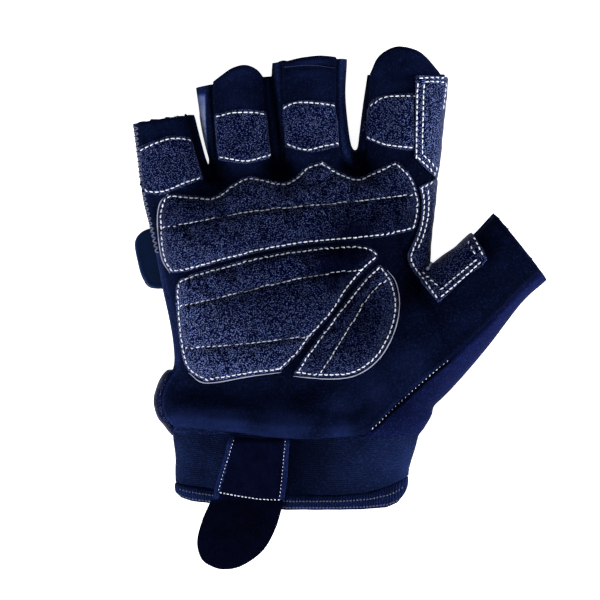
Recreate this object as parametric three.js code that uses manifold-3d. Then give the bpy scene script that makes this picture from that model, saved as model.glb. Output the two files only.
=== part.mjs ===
// A padded half-finger training glove for the right hand, lying on its back with the palm up.
// Millimetres, +Z up. +Y runs from the wrist to the fingers and +X towards the thumb.
// The origin is under the middle of the glove, on the surface that it rests on.
import * as THREE from 'three';
import { mergeVertices } from 'three/addons/utils/BufferGeometryUtils.js';
import Module from 'manifold-3d';

const wasm = await Module();
wasm.setup();

// Cloth and leather
const WALL = 2.0;               // suede, knit and neoprene walls
const BINDING_WALL = 3.0;       // the cuff's doubled hem
const PAD = 3.4;                // quilted palm pads
const CHANNEL_DEPTH = 1.5;      // how deep a sewn channel sinks into a palm pad
const CHANNEL_WIDTH = 1.6;
const PATCH = 1.4;              // leather on the fingers and the thumb
const STRAP = 2.0;
const TONGUE = 2.0;
const GAP = 0.3;                // between neighbouring pieces

// Heights above the surface that the glove rests on
const HAND_BOTTOM = STRAP + GAP;  // the back panel lies on the two straps
const WIDEST = 11.5;              // where the outline from above is reached
const SEAM_LOW = 6.0;             // back panel to side panels
const SEAM_HIGH = 13.0;           // the palm panel's side edges stay above this
const CEILING = 60;
const FAR = 120;                  // past the glove on every side

// A section's outline is a superellipse, rounder above its widest level than below it
const SECTION_POINTS = 20;
const CROWN_POWER = 2.3;
const BASE_POWER = 4.5;
const OPEN_END = 14;            // how far a tube is run past its opening before it is trimmed
const CURVE_POINTS = 3;         // straight steps for each span of a smooth outline

// Each row is a section that stands on the line from left to right, seen from above
const PALM = [
  { left: [-74.5, 44.0], right: [35.5, 55.5], top: 21.5 },
  { left: [-73.5, 38.5], right: [35.0, 44.0], top: 24.0 },
  { left: [-71.5, 31.0], right: [33.5, 31.0], top: 26.5 },
  { left: [-69.0, 20.0], right: [32.5, 19.0], top: 27.5 },
  { left: [-66.5, 7.0], right: [32.5, 7.0], top: 27.5 },
  { left: [-64.0, -4.5], right: [32.0, -4.5], top: 28.0 },
  { left: [-62.5, -14.0], right: [31.5, -16.0], top: 28.0 },
  { left: [-62.5, -22.5], right: [30.5, -27.0], top: 26.5 },
  { left: [-65.5, -29.0], right: [31.0, -34.5], top: 25.0 },
  { left: [-67.0, -34.5], right: [31.0, -39.0], top: 25.5 },
  { left: [-66.0, -40.5], right: [30.5, -43.5], top: 26.5 },
  { left: [-63.5, -46.5], right: [29.0, -48.5], top: 26.5 },
];

const DIGITS = {
  little: [
    { left: [-77.7, 69.0], right: [-55.0, 72.5], top: 20.0 },
    { left: [-76.3, 59.0], right: [-51.8, 61.0], top: 21.0 },
    { left: [-75.0, 48.0], right: [-49.0, 50.0], top: 22.0 },
    { left: [-73.0, 38.5], right: [-45.0, 40.5], top: 21.0 },
  ],
  ring: [
    { left: [-53.5, 82.0], right: [-26.2, 86.5], top: 21.5 },
    { left: [-51.3, 68.5], right: [-25.2, 72.5], top: 22.0 },
    { left: [-48.8, 55.5], right: [-24.2, 57.5], top: 23.0 },
    { left: [-47.0, 42.0], right: [-20.0, 44.0], top: 21.0 },
  ],
  middle: [
    { left: [-25.4, 91.5], right: [2.5, 93.0], top: 22.0 },
    { left: [-24.3, 78.0], right: [2.0, 80.0], top: 22.5 },
    { left: [-23.2, 65.0], right: [4.0, 65.0], top: 23.0 },
    { left: [-22.4, 54.5], right: [6.2, 56.0], top: 23.5 },
    { left: [-20.5, 42.0], right: [9.5, 43.0], top: 21.0 },
  ],
  index: [
    { left: [10.5, 87.5], right: [39.2, 87.5], top: 22.0 },
    { left: [8.7, 76.0], right: [38.2, 76.0], top: 22.5 },
    { left: [7.6, 63.0], right: [36.8, 63.0], top: 23.0 },
    { left: [6.8, 55.0], right: [35.6, 52.0], top: 23.5 },
    { left: [6.5, 40.0], right: [33.0, 37.0], top: 21.0 },
  ],
  thumb: [
    { left: [57.6, 35.5], right: [77.4, 10.6], top: 23.0 },
    { left: [48.8, 26.2], right: [68.0, 2.0], top: 24.0 },
    { left: [35.4, 15.4], right: [54.5, -15.5], top: 26.0 },
    { left: [23.0, 7.0], right: [40.0, -32.0], top: 27.0 },
    { left: [11.0, -8.0], right: [28.5, -42.0], top: 25.0 },
  ],
};

const CUFF = [
  { left: [-62.8, -47.6], right: [28.6, -49.6], top: 24.5 },
  { left: [-62.2, -60.0], right: [25.8, -60.0], top: 24.0 },
  { left: [-61.4, -72.0], right: [24.6, -72.0], top: 23.5 },
  { left: [-61.0, -86.0], right: [24.0, -86.0], top: 21.5 },
  { left: [-60.5, -100.0], right: [23.5, -100.0], top: 19.0 },
];

// Where the tubes of the fingers and the thumb are cut off, seen from above
const FINGER_ENDS = [
  [-FAR, 62.6], [-54.3, 72.6], [-54.3, 81.9], [-25.8, 86.6], [-25.8, 91.5], [6.5, 93.2], [6.5, 87.5],
  [48, 87.5], [48, 44], [57.0, 36.3], [78.4, 9.3], [82, -20], [FAR, -FAR], [-FAR, -FAR],
];

// The palm side is cut the same way, but runs on into a rounded flap on the ring and index fingers
const PALM_ENDS = [
  [-FAR, 62.6], [-56.2, 72.3], [-56.2, FAR], [-25.8, FAR], [-25.8, 91.5], [6.5, 93.2], [6.5, FAR],
  [48, FAR], [48, 44], [57.0, 36.3], [78.4, 9.3], [82, -20], [FAR, -FAR], [-FAR, -FAR],
];

// Outlines seen from above. A point marked corner stays sharp

const PALM_EDGE = [
  { at: [-62.0, -60.0], corner: true }, { at: [-62.5, -45.0] }, { at: [-65.0, -38.0] }, { at: [-65.0, -31.0] },
  { at: [-61.0, -23.0] }, { at: [-61.0, -13.0] }, { at: [-62.8, -3.0] }, { at: [-65.2, 7.0] },
  { at: [-67.8, 20.0] }, { at: [-70.3, 31.0] }, { at: [-73.0, 43.0] }, { at: [-75.0, 56.0] },
  { at: [-76.4, 80.0], corner: true }, { at: [-56.8, 80.0], corner: true }, { at: [-56.0, 72.0] },
  { at: [-53.7, 62.0] }, { at: [-50.8, 51.5] }, { at: [-49.0, 47.5] }, { at: [-46.8, 52.0] },
  { at: [-47.2, 67.0] }, { at: [-47.8, 79.0] },
  { at: [-44.4, 86.2], corner: true }, { at: [-40.5, 89.4] }, { at: [-35.5, 90.7] }, { at: [-31.0, 89.2] },
  { at: [-28.3, 86.3], corner: true }, { at: [-27.5, 75.0] }, { at: [-25.8, 60.0] }, { at: [-23.6, 53.0] },
  { at: [-20.8, 58.0] }, { at: [-21.4, 72.0] }, { at: [-22.2, 96.0], corner: true },
  { at: [-0.6, 96.0], corner: true }, { at: [-0.6, 82.0] }, { at: [0.6, 68.0] }, { at: [3.0, 58.0] },
  { at: [6.8, 53.5] }, { at: [9.7, 58.0] }, { at: [10.2, 68.0] }, { at: [11.5, 78.0] },
  { at: [12.6, 87.7], corner: true }, { at: [15.5, 94.2] }, { at: [22.5, 97.4] }, { at: [30.0, 95.2] },
  { at: [37.6, 87.7], corner: true }, { at: [37.0, 74.0] }, { at: [35.4, 59.0] }, { at: [34.4, 48.0] },
  { at: [33.0, 35.0] }, { at: [31.4, 24.0] }, { at: [32.0, 15.5] }, { at: [35.5, 14.0] },
  { at: [42.0, 19.0] }, { at: [51.0, 28.0] }, { at: [62.0, 40.0], corner: true },
  { at: [78.8, 17.5], corner: true }, { at: [67.5, 7.0] }, { at: [60.0, -0.5] }, { at: [52.5, -8.0] },
  { at: [41.0, -18.5] }, { at: [30.0, -28.0] }, { at: [20.5, -36.5] }, { at: [13.0, -44.0] },
  { at: [6.0, -50.0] }, { at: [4.0, -60.0], corner: true },
];

// What the knit of the back wraps round the thumb and the heel of the hand, beside the palm's seam
const KNIT_SIDE = [
  [FAR, 30], [78.8, 16.0], [67.5, 7.0], [60.0, -0.5], [52.5, -8.0], [41.0, -18.5], [30.0, -28.0],
  [20.5, -36.5], [13.0, -44.0], [6.0, -50.0], [4.0, -60.0], [FAR, -60],
];

const PADS = {
  knuckle_pad: {
    edge: [
      { at: [-68.0, 31.0] }, { at: [-67.3, 38.5] }, { at: [-63.8, 42.4] }, { at: [-54.5, 42.0] },
      { at: [-47.0, 41.8] }, { at: [-40.0, 46.5] }, { at: [-34.0, 49.2] }, { at: [-22.5, 47.0] },
      { at: [-17.5, 48.6] }, { at: [-12.5, 53.0] }, { at: [-7.0, 54.8], corner: true }, { at: [0.0, 50.8] },
      { at: [6.5, 48.8] }, { at: [12.0, 51.0] }, { at: [21.0, 55.0], corner: true }, { at: [26.4, 49.0] },
      { at: [29.2, 42.0] }, { at: [29.4, 35.0] }, { at: [28.0, 29.0], corner: true }, { at: [15.0, 26.2] },
      { at: [0.0, 24.6] }, { at: [-15.0, 23.2] }, { at: [-30.0, 20.6] }, { at: [-45.0, 16.8] },
      { at: [-58.0, 13.4] }, { at: [-63.5, 13.0], corner: true }, { at: [-66.6, 19.0] },
    ],
    channels: [[[-72, 29.0], [-53, 32.0], [-38, 35.2], [-23, 37.0], [-8, 38.5], [8, 39.7], [32, 43.0]]],
  },
  heel_pad: {
    edge: [
      { at: [-61.3, 8.0] }, { at: [-57.0, 12.0] }, { at: [-45.0, 15.6] }, { at: [-30.0, 19.4] },
      { at: [-15.0, 22.0] }, { at: [0.0, 23.4] }, { at: [8.0, 23.4] }, { at: [13.0, 21.4] },
      { at: [13.6, 18.4] }, { at: [9.5, 14.4] }, { at: [3.2, 7.0] }, { at: [-3.0, -2.0] },
      { at: [-10.4, -10.5] }, { at: [-15.6, -17.0] }, { at: [-22.0, -23.4], corner: true },
      { at: [-34.0, -25.0] }, { at: [-50.0, -27.6], corner: true }, { at: [-56.2, -24.0] },
      { at: [-59.0, -18.5] }, { at: [-60.8, -6.5] },
    ],
    channels: [
      [[-66, -0.6], [-52.5, 2.0], [-43, 4.2], [-30, 7.6], [-15, 11.2], [0, 13.4], [16, 15.6]],
      [[-66, -15.6], [-58, -15.0], [-45, -14.2], [-30, -12.8], [-6, -9.6]],
    ],
  },
  thumb_pad: {
    edge: [
      { at: [14.6, 16.6], corner: true }, { at: [19.4, 10.5] }, { at: [21.4, 1.0] }, { at: [19.4, -9.0] },
      { at: [14.0, -18.3] }, { at: [6.0, -24.2] }, { at: [-4.0, -25.8] }, { at: [-17.8, -24.8], corner: true },
      { at: [-12.2, -16.2] }, { at: [-1.4, -1.6] }, { at: [8.4, 10.8] },
    ],
    channels: [[[-10, -28], [-3.8, -18.8], [1.6, -10.0], [7.5, 0], [12.5, 7.0], [22, 14]]],
  },
};

const FINGER_PATCHES = {
  little_patch: [[-75.0, 60.0], [-56.0, 63.4], [-51.4, 48.0], [-60.0, 44.6], [-68.0, 42.8], [-73.4, 45.0]],
  ring_patch: [[-46.8, 71.6], [-37.0, 73.4], [-28.0, 72.6], [-26.2, 56.8], [-35.0, 54.6], [-45.4, 56.0]],
  middle_patch: [[-21.6, 75.4], [-11.5, 77.0], [-2.2, 75.6], [-0.8, 60.4], [-11.0, 58.4], [-20.4, 60.6]],
  index_patch: [[10.8, 76.0], [18.0, 79.6], [27.2, 79.4], [27.2, 59.4], [18.0, 60.4], [9.6, 63.6]],
};

// One piece of leather from the fingertip, round the crotch and onto the thumb, notched over the palm
const SADDLE_EDGE = [
  [27.9, 86.6], [48.0, 86.6], [46.0, 60.0], [45.0, 35.0], [49.4, 28.5], [51.2, 25.0], [53.4, 21.4],
  [54.7, 18.0], [52.0, 15.0], [47.4, 12.2], [36.6, 1.8], [31.0, 8.8], [26.4, 14.6], [24.8, 19.0],
  [26.0, 22.6], [30.0, 28.0], [31.0, 35.0], [30.0, 42.5], [29.8, 44.4], [35.4, 48.4], [31.8, 51.6], [27.6, 56.0],
];

const TONGUE_EDGE = [
  { at: [-41.5, -49.6], corner: true }, { at: [-44.5, -60.0] }, { at: [-47.5, -70.0] }, { at: [-51.5, -79.0] },
  { at: [-53.4, -87.0] }, { at: [-51.8, -93.5] }, { at: [-47.5, -96.6] }, { at: [-42.5, -97.5] },
  { at: [-36.5, -96.0] }, { at: [-29.5, -91.0] }, { at: [-25.0, -84.0] }, { at: [-22.0, -75.0] },
  { at: [-20.0, -64.5] }, { at: [-19.0, -49.6], corner: true },
];

// The cuff's lower edge, which turns up at its sides
const HEM_CURVE = [
  [-64.0, -66.0], [-62.0, -69.2], [-60.0, -71.0], [-56.0, -72.2], [-45.0, -73.2], [-20.0, -75.2], [8.0, -75.2],
  [18.0, -74.6], [22.4, -72.8], [24.8, -69.6], [26.6, -65.0],
];
const BINDING_WIDTH = 4.4;

// Straps under the back of the hand. Wrap and wrapTop say how far one comes round its edge
const WRIST_STRAP = { low: -48.0, high: -23.4, end: 24.0, wrap: -62.4, wrapTop: 19.0 };
const CLOSURE_STRAP = [[-60.0, 7.6], [-60.0, 30.4], [27.0, 39.6], [27.0, 17.2]];
const CLOSURE_TAB = [
  { at: [-60.4, 30.2], corner: true }, { at: [-67.5, 30.8] }, { at: [-74.4, 29.2] }, { at: [-77.6, 25.0] },
  { at: [-76.6, 17.5] }, { at: [-74.6, 11.0] }, { at: [-71.0, 7.4] }, { at: [-60.4, 7.6], corner: true },
];

// A closed three.js geometry as a solid that can be cut and joined
function solidFrom(geometry) {
  const bare = geometry.clone();
  bare.deleteAttribute('normal');
  bare.deleteAttribute('uv');
  const merged = mergeVertices(bare, 1e-4);
  return new wasm.Manifold(new wasm.Mesh({
    numProp: 3,
    vertProperties: new Float32Array(merged.attributes.position.array),
    triVerts: new Uint32Array(merged.index.array),
  }));
}

function geometryFrom(solid) {
  const mesh = solid.getMesh();
  const geometry = new THREE.BufferGeometry();
  geometry.setAttribute('position', new THREE.BufferAttribute(new Float32Array(mesh.vertProperties), 3));
  geometry.setIndex(new THREE.BufferAttribute(new Uint32Array(mesh.triVerts), 1));
  return geometry;
}

const joined = (solids) => solids.reduce((all, one) => all.add(one));

// One section, grown outwards by grow all round
function sectionPoints({ left, right, top }, grow) {
  const a = new THREE.Vector2(...left);
  const b = new THREE.Vector2(...right);
  const middle = a.clone().add(b).multiplyScalar(0.5);
  const across = b.clone().sub(a);
  const half = across.length() / 2 + grow;
  across.normalize();
  const points = [];
  for (let i = 0; i < SECTION_POINTS; i += 1) {
    const angle = (2 * Math.PI * i) / SECTION_POINTS;
    const [c, s] = [Math.cos(angle), Math.sin(angle)];
    const power = 2 / (s >= 0 ? CROWN_POWER : BASE_POWER);
    const reach = s >= 0 ? top + grow - WIDEST : WIDEST - HAND_BOTTOM + grow;
    const x = half * Math.sign(c) * Math.abs(c) ** power;
    const z = WIDEST + reach * Math.sign(s) * Math.abs(s) ** power;
    points.push(new THREE.Vector3(middle.x + across.x * x, middle.y + across.y * x, z));
  }
  return points;
}

// The row that carries a tube straight on past its first row
function rowBefore(first, second, distance) {
  const step = (p, q) => {
    const away = new THREE.Vector2(...p).sub(new THREE.Vector2(...q)).setLength(distance);
    return [p[0] + away.x, p[1] + away.y];
  };
  return { left: step(first.left, second.left), right: step(first.right, second.right), top: first.top };
}

// A solid through the rows, in order
function loft(rows, grow) {
  const rings = rows.map((row) => sectionPoints(row, grow));
  const positions = rings.flat().flatMap((p) => p.toArray());
  const n = SECTION_POINTS;
  const index = [];
  for (let r = 0; r + 1 < rings.length; r += 1) {
    for (let i = 0; i < n; i += 1) {
      const j = (i + 1) % n;
      index.push(r * n + i, (r + 1) * n + i, (r + 1) * n + j, r * n + i, (r + 1) * n + j, r * n + j);
    }
  }
  [0, rings.length - 1].forEach((r) => {
    const hub = new THREE.Vector3();
    rings[r].forEach((p) => hub.addScaledVector(p, 1 / n));
    const centre = positions.length / 3;
    positions.push(...hub.toArray());
    for (let i = 0; i < n; i += 1) {
      const j = (i + 1) % n;
      index.push(centre, ...(r === 0 ? [r * n + i, r * n + j] : [r * n + j, r * n + i]));
    }
  });
  const geometry = new THREE.BufferGeometry();
  geometry.setAttribute('position', new THREE.Float32BufferAttribute(positions, 3));
  geometry.setIndex(index);
  const solid = solidFrom(geometry);
  return solid.volume() > 0 ? solid : solidFrom(turnedInsideOut(geometry));
}

function turnedInsideOut(geometry) {
  const order = Array.from(geometry.index.array);
  for (let i = 0; i < order.length; i += 3) [order[i + 1], order[i + 2]] = [order[i + 2], order[i + 1]];
  return geometry.clone().setIndex(order);
}

// A smooth closed outline through the points, with the marked corners kept
function smooth(edge) {
  const n = edge.length;
  const vector = (k) => new THREE.Vector2(...edge[(k + n) % n].at);
  const points = [];
  for (let k = 0; k < n; k += 1) {
    const [p, q] = [vector(k), vector(k + 1)];
    const before = edge[k].corner ? p : vector(k - 1);
    const after = edge[(k + 1) % n].corner ? q : vector(k + 2);
    for (let i = 0; i < CURVE_POINTS; i += 1) {
      const t = i / CURVE_POINTS;
      const blend = (a, b, c, d) => THREE.MathUtils.clamp(
        0.5 * (2 * b + (c - a) * t + (2 * a - 5 * b + 4 * c - d) * t * t + (3 * b - a - 3 * c + d) * t ** 3),
        Math.min(a, b, c, d), Math.max(a, b, c, d));
      points.push([blend(before.x, p.x, q.x, after.x), blend(before.y, p.y, q.y, after.y)]);
    }
  }
  return points;
}

function prism(points, low = -1, high = CEILING) {
  const shape = new THREE.Shape(points.map(([x, y]) => new THREE.Vector2(x, y)));
  const geometry = new THREE.ExtrudeGeometry(shape, { depth: high - low, bevelEnabled: false });
  return solidFrom(geometry.translate(0, 0, low));
}

function slab(low, high) {
  const geometry = new THREE.BoxGeometry(400, 400, high - low);
  return solidFrom(geometry.translate(0, 0, (low + high) / 2));
}

// A band of the given width along a line, seen from above
function band(line, width) {
  const vectors = line.map(([x, y]) => new THREE.Vector2(x, y));
  const side = (sign) => vectors.map((p, i) => {
    const along = vectors[Math.min(i + 1, vectors.length - 1)].clone().sub(vectors[Math.max(i - 1, 0)]).normalize();
    return [p.x - (along.y * sign * width) / 2, p.y + (along.x * sign * width) / 2];
  });
  return [...side(-1), ...side(1).reverse()];
}

// The same closed outline, moved outwards or, with a negative distance, inwards
function offsetOutline(points, distance) {
  const area = THREE.ShapeUtils.area(points.map(([x, y]) => new THREE.Vector2(x, y)));
  const n = points.length;
  return points.map(([x, y], i) => {
    const [before, after] = [points[(i + n - 1) % n], points[(i + 1) % n]];
    const along = new THREE.Vector2(after[0] - before[0], after[1] - before[1]).normalize();
    const turn = Math.sign(area) * distance;
    return [x + along.y * turn, y - along.x * turn];
  });
}

// The whole hand, palm and digits, grown by grow. Its openings are trimmed by the caller
const handCache = new Map();
function hand(grow) {
  if (!handCache.has(grow)) {
    const digits = Object.values(DIGITS).map((rows) => loft([rowBefore(rows[0], rows[1], OPEN_END), ...rows], grow));
    const wrist = { ...PALM[PALM.length - 1] };
    wrist.left = [wrist.left[0], wrist.left[1] - OPEN_END];
    wrist.right = [wrist.right[0], wrist.right[1] - OPEN_END];
    handCache.set(grow, joined([loft([...PALM, wrist], grow), ...digits]));
  }
  return handCache.get(grow);
}

const cuffForm = (grow) => loft([rowBefore(CUFF[0], CUFF[1], OPEN_END), ...CUFF], grow);

// What lies on the hand between two distances from it, with its outline seen from above
const onHand = (outline, low, high) => hand(high).subtract(hand(low)).intersect(prism(outline, SEAM_LOW));

const wristLine = PALM[PALM.length - 1];
const aboveWrist = prism([
  [-FAR, wristLine.left[1]], wristLine.left, wristLine.right, [FAR, wristLine.right[1]], [FAR, FAR], [-FAR, FAR],
]);

// The hand's wall is cut into the palm side, the back and the strips between them
function handPanels() {
  const shell = hand(0).subtract(hand(-WALL)).intersect(aboveWrist);
  const trimmed = shell.intersect(prism(FINGER_ENDS));
  const palmOutline = smooth(PALM_EDGE);
  const palmRoom = prism(offsetOutline(palmOutline, GAP), SEAM_HIGH - GAP);
  const knit = prism(KNIT_SIDE);
  const knitRoom = prism(offsetOutline(KNIT_SIDE, GAP));
  return {
    palm: shell.intersect(prism(palmOutline, SEAM_HIGH)).intersect(prism(PALM_ENDS)).subtract(knitRoom),
    back: trimmed.intersect(slab(-1, SEAM_LOW).add(knit)).subtract(palmRoom.subtract(knit)),
    sides: trimmed.subtract(palmRoom).subtract(slab(-1, SEAM_LOW + GAP)).subtract(knitRoom),
  };
}

// The side strips in order from the little finger to the thumb. Slivers of cloth are left out
const SIDE_STRIPS = [
  'little_side', 'fourchette_little_ring', 'fourchette_ring_middle', 'fourchette_middle_index', 'thumb_gusset',
];
const SLIVER_MM3 = 20;
function sideStrips(sides) {
  const middleX = (strip) => (strip.boundingBox().min[0] + strip.boundingBox().max[0]) / 2;
  const strips = sides.decompose().filter((strip) => strip.volume() > SLIVER_MM3);
  strips.sort((a, b) => middleX(a) - middleX(b));
  return strips.map((strip, i) => [SIDE_STRIPS[i], strip]);
}

// A pad is puffed between its edge and its sewn channels
function palmPad({ edge, channels }) {
  const outline = smooth(edge);
  const pad = onHand(outline, GAP, PAD);
  const grooves = channels.map((line) => prism(band(line, CHANNEL_WIDTH)));
  return pad.subtract(joined(grooves).subtract(hand(PAD - CHANNEL_DEPTH)));
}

// The cuff is open at both ends, and its lower end is cut along the hem
function cuffPieces() {
  const { left, right } = CUFF[0];
  const downTo = (rise) => prism([
    [-FAR, left[1]], left, right, [FAR, right[1]], [FAR, HEM_CURVE[0][1] + rise],
    ...HEM_CURVE.map(([x, y]) => [x, y + rise]).reverse(), [-FAR, HEM_CURVE[0][1] + rise],
  ]);
  const wall = cuffForm(0).subtract(cuffForm(-WALL));
  const hemWall = cuffForm((BINDING_WALL - WALL) / 2).subtract(cuffForm(-(BINDING_WALL + WALL) / 2));
  return {
    cuff: wall.intersect(downTo(BINDING_WIDTH + GAP)),
    binding: hemWall.intersect(downTo(0)).subtract(downTo(BINDING_WIDTH)),
  };
}

// The tongue follows the cuff under it and runs on past its hem
function tongue() {
  const clear = (BINDING_WALL - WALL) / 2 + GAP;
  const sheet = cuffForm(clear + TONGUE).subtract(cuffForm(clear));
  return sheet.intersect(prism(smooth(TONGUE_EDGE), WIDEST));
}

// The wrist strap comes round the edge of the hand and lies under the back
function wristStrap() {
  const { low, high, end, wrap, wrapTop } = WRIST_STRAP;
  const around = hand(GAP + STRAP).subtract(hand(GAP));
  const side = prism([[-FAR, low], [wrap, low], [wrap, high], [-FAR, high]], -1, wrapTop);
  const under = prism([[-FAR, low], [end, low], [end, high], [-FAR, high]], -1, HAND_BOTTOM - GAP);
  return around.intersect(side.add(under));
}

// Finishes
const finish = (color, roughness, metalness = 0) => new THREE.MeshStandardMaterial({ color, roughness, metalness });
const SUEDE = finish(0x0c1030, 0.9);
const KNIT = finish(0x1b1b4d, 0.85);
const SIDE_KNIT = finish(0x141a44, 0.85);
const NEOPRENE = finish(0x121a42, 0.8);
const LEATHER = finish(0x202c5c, 0.6);
const WEBBING = finish(0x0c1434, 0.8);
const RUBBER = finish(0x061c40, 0.45);

const glove = new THREE.Group();
function addPiece(name, solid, material) {
  const mesh = new THREE.Mesh(geometryFrom(solid), material);
  mesh.name = name;
  glove.add(mesh);
}

const { palm, back, sides } = handPanels();
addPiece('palm_panel', palm, SUEDE);
addPiece('back_panel', back, KNIT);
sideStrips(sides).forEach(([name, strip]) => addPiece(name, strip, SIDE_KNIT));
Object.entries(PADS).forEach(([name, pad]) => addPiece(name, palmPad(pad), LEATHER));
Object.entries(FINGER_PATCHES).forEach(([name, edge]) => addPiece(name, onHand(edge, GAP, PATCH), LEATHER));
addPiece('saddle_patch', onHand(SADDLE_EDGE, GAP, PATCH), LEATHER);
const { cuff, binding } = cuffPieces();
addPiece('cuff', cuff, NEOPRENE);
addPiece('cuff_binding', binding, NEOPRENE);
addPiece('pull_tongue', tongue(), SUEDE);
addPiece('wrist_strap', wristStrap(), LEATHER);
addPiece('closure_strap', prism(CLOSURE_STRAP, 0, STRAP), WEBBING);
addPiece('closure_tab', prism(smooth(CLOSURE_TAB), 0, STRAP), RUBBER);

export default glove;
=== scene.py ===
"""A padded half-finger training glove for the right hand, lying palm up.

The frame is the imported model. Every piece is made here in mesh code, in the frame's own
place and size, and each one stands for the plain solid of the same name.
"""
import math

import bpy
import numpy as np
from bpy.props import (BoolProperty, FloatProperty, FloatVectorProperty, IntProperty,
                       PointerProperty)
from bpy.types import Operator, Panel, PropertyGroup
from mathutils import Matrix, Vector
from mathutils.bvhtree import BVHTree
from mathutils.geometry import delaunay_2d_cdt


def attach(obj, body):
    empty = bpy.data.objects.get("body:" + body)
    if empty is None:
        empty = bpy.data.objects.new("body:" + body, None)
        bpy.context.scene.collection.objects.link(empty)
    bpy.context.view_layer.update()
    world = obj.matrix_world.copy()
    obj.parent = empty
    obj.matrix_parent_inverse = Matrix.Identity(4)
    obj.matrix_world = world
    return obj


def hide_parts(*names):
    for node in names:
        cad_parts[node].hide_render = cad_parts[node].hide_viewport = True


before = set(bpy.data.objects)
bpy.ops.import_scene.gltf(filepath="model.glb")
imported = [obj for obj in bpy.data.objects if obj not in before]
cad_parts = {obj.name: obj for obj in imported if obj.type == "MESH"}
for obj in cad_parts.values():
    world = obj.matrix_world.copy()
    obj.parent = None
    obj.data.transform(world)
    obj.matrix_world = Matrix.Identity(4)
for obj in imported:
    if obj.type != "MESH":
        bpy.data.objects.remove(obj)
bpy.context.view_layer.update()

bl_info = {
    "name": "Training Glove Maker",
    "version": (1, 0, 0),
    "blender": (4, 5, 0),
    "location": "View3D > Sidebar > Glove",
    "description": "Makes a padded half-finger training glove, piece by piece",
    "category": "Object",
}

MM = 0.001
BODY = "root"

# ---------------------------------------------------------------------------
# The pattern of the glove, in millimetres. "c" marks a corner of an outline.
# ---------------------------------------------------------------------------

BACK_LEVEL = 2.3      # the back lies this high, on the fastening strap
WIDEST = 11.5         # height at which the hand is widest
SIDE_SEAM = 6.0       # height of the seam between the side strips and the back
STRAP_REACH = (-47.8, -23.2)  # where the wrist strap lies along the glove

# Rows of the hand: left point, right point, height of the top.
PALM_ROWS = [
    (-74.5, 44, 35.5, 55.5, 21.5), (-73.5, 38.5, 35, 44, 24), (-71.5, 31, 33.5, 31, 26.5),
    (-69, 20, 32.5, 19, 27.5), (-66.5, 7, 32.5, 7, 27.5), (-64, -4.5, 32, -4.5, 28),
    (-62.5, -14, 31.5, -16, 28), (-62.5, -22.5, 30.5, -27, 26.5),
    (-66.6, -29, 33.2, -34.5, 25), (-68.2, -34.5, 34.7, -39, 25.5),
    (-66.9, -40.5, 32.4, -43.5, 26.5), (-63.5, -46.5, 29.9, -48.5, 26.5)]
DIGIT_ROWS = {
    "little": [(-77.7, 69, -55.3, 72.5, 20), (-76.3, 59, -52.4, 61, 21),
               (-75.6, 53.4, -50.8, 55.4, 21.5), (-75, 48, -48.6, 50, 22),
               (-73, 38.5, -45, 40.5, 21)],
    "ring": [(-53.9, 82, -25.8, 86.5, 21.5), (-51.8, 68.5, -24.6, 72.5, 22),
             (-49.9, 60, -24.0, 63, 22.5), (-48.5, 54.6, -23.4, 57, 23),
             (-47, 42, -20, 44, 21)],
    "middle": [(-25.6, 91.5, 2.4, 93, 22), (-24.7, 78, 1.8, 80, 22.5),
               (-24.0, 65, 3.1, 66, 23), (-23.6, 59, 4.3, 60, 23.2),
               (-23.2, 54.5, 6.6, 56, 23.5), (-20.5, 42, 9.5, 43, 21)],
    "index": [(10.4, 87.5, 39.2, 87.5, 22), (8.7, 76, 38.2, 76, 22.5),
              (7.2, 64, 36.9, 64, 23), (6.8, 60, 36.4, 58, 23.2), (5.6, 55, 35.6, 52, 23.5),
              (6.0, 40, 33, 37, 21)],
    "thumb": [(57.6, 35.5, 77.4, 10.6, 23), (48.8, 26.2, 68, 2, 24),
              (35.4, 15.4, 54.5, -15.5, 26), (23, 7, 40, -32, 27), (11, -8, 28.5, -42, 25)]}
CUFF_ROWS = [
    (-62.8, -47.6, 29.8, -49.6, 24.5), (-62.2, -60, 25.8, -60, 24),
    (-61.4, -72, 24.6, -72, 23.5), (-61, -86, 24, -86, 21.5)]

# Where each finger tube ends: two points of a line seen from above.
OPENINGS = {
    "little": ((-77.7, 69.0), (-54.3, 72.6)),
    "ring": ((-54.3, 82.5), (-25.8, 86.8)),
    "middle": ((-25.8, 91.7), (6.5, 93.5)),
    "index": ((6.5, 87.5), (48.0, 87.5)),
    "thumb": ((57.0, 36.3), (78.4, 9.3)),
    "wrist": ((29.0, -48.5), (-63.5, -46.5))}

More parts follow.
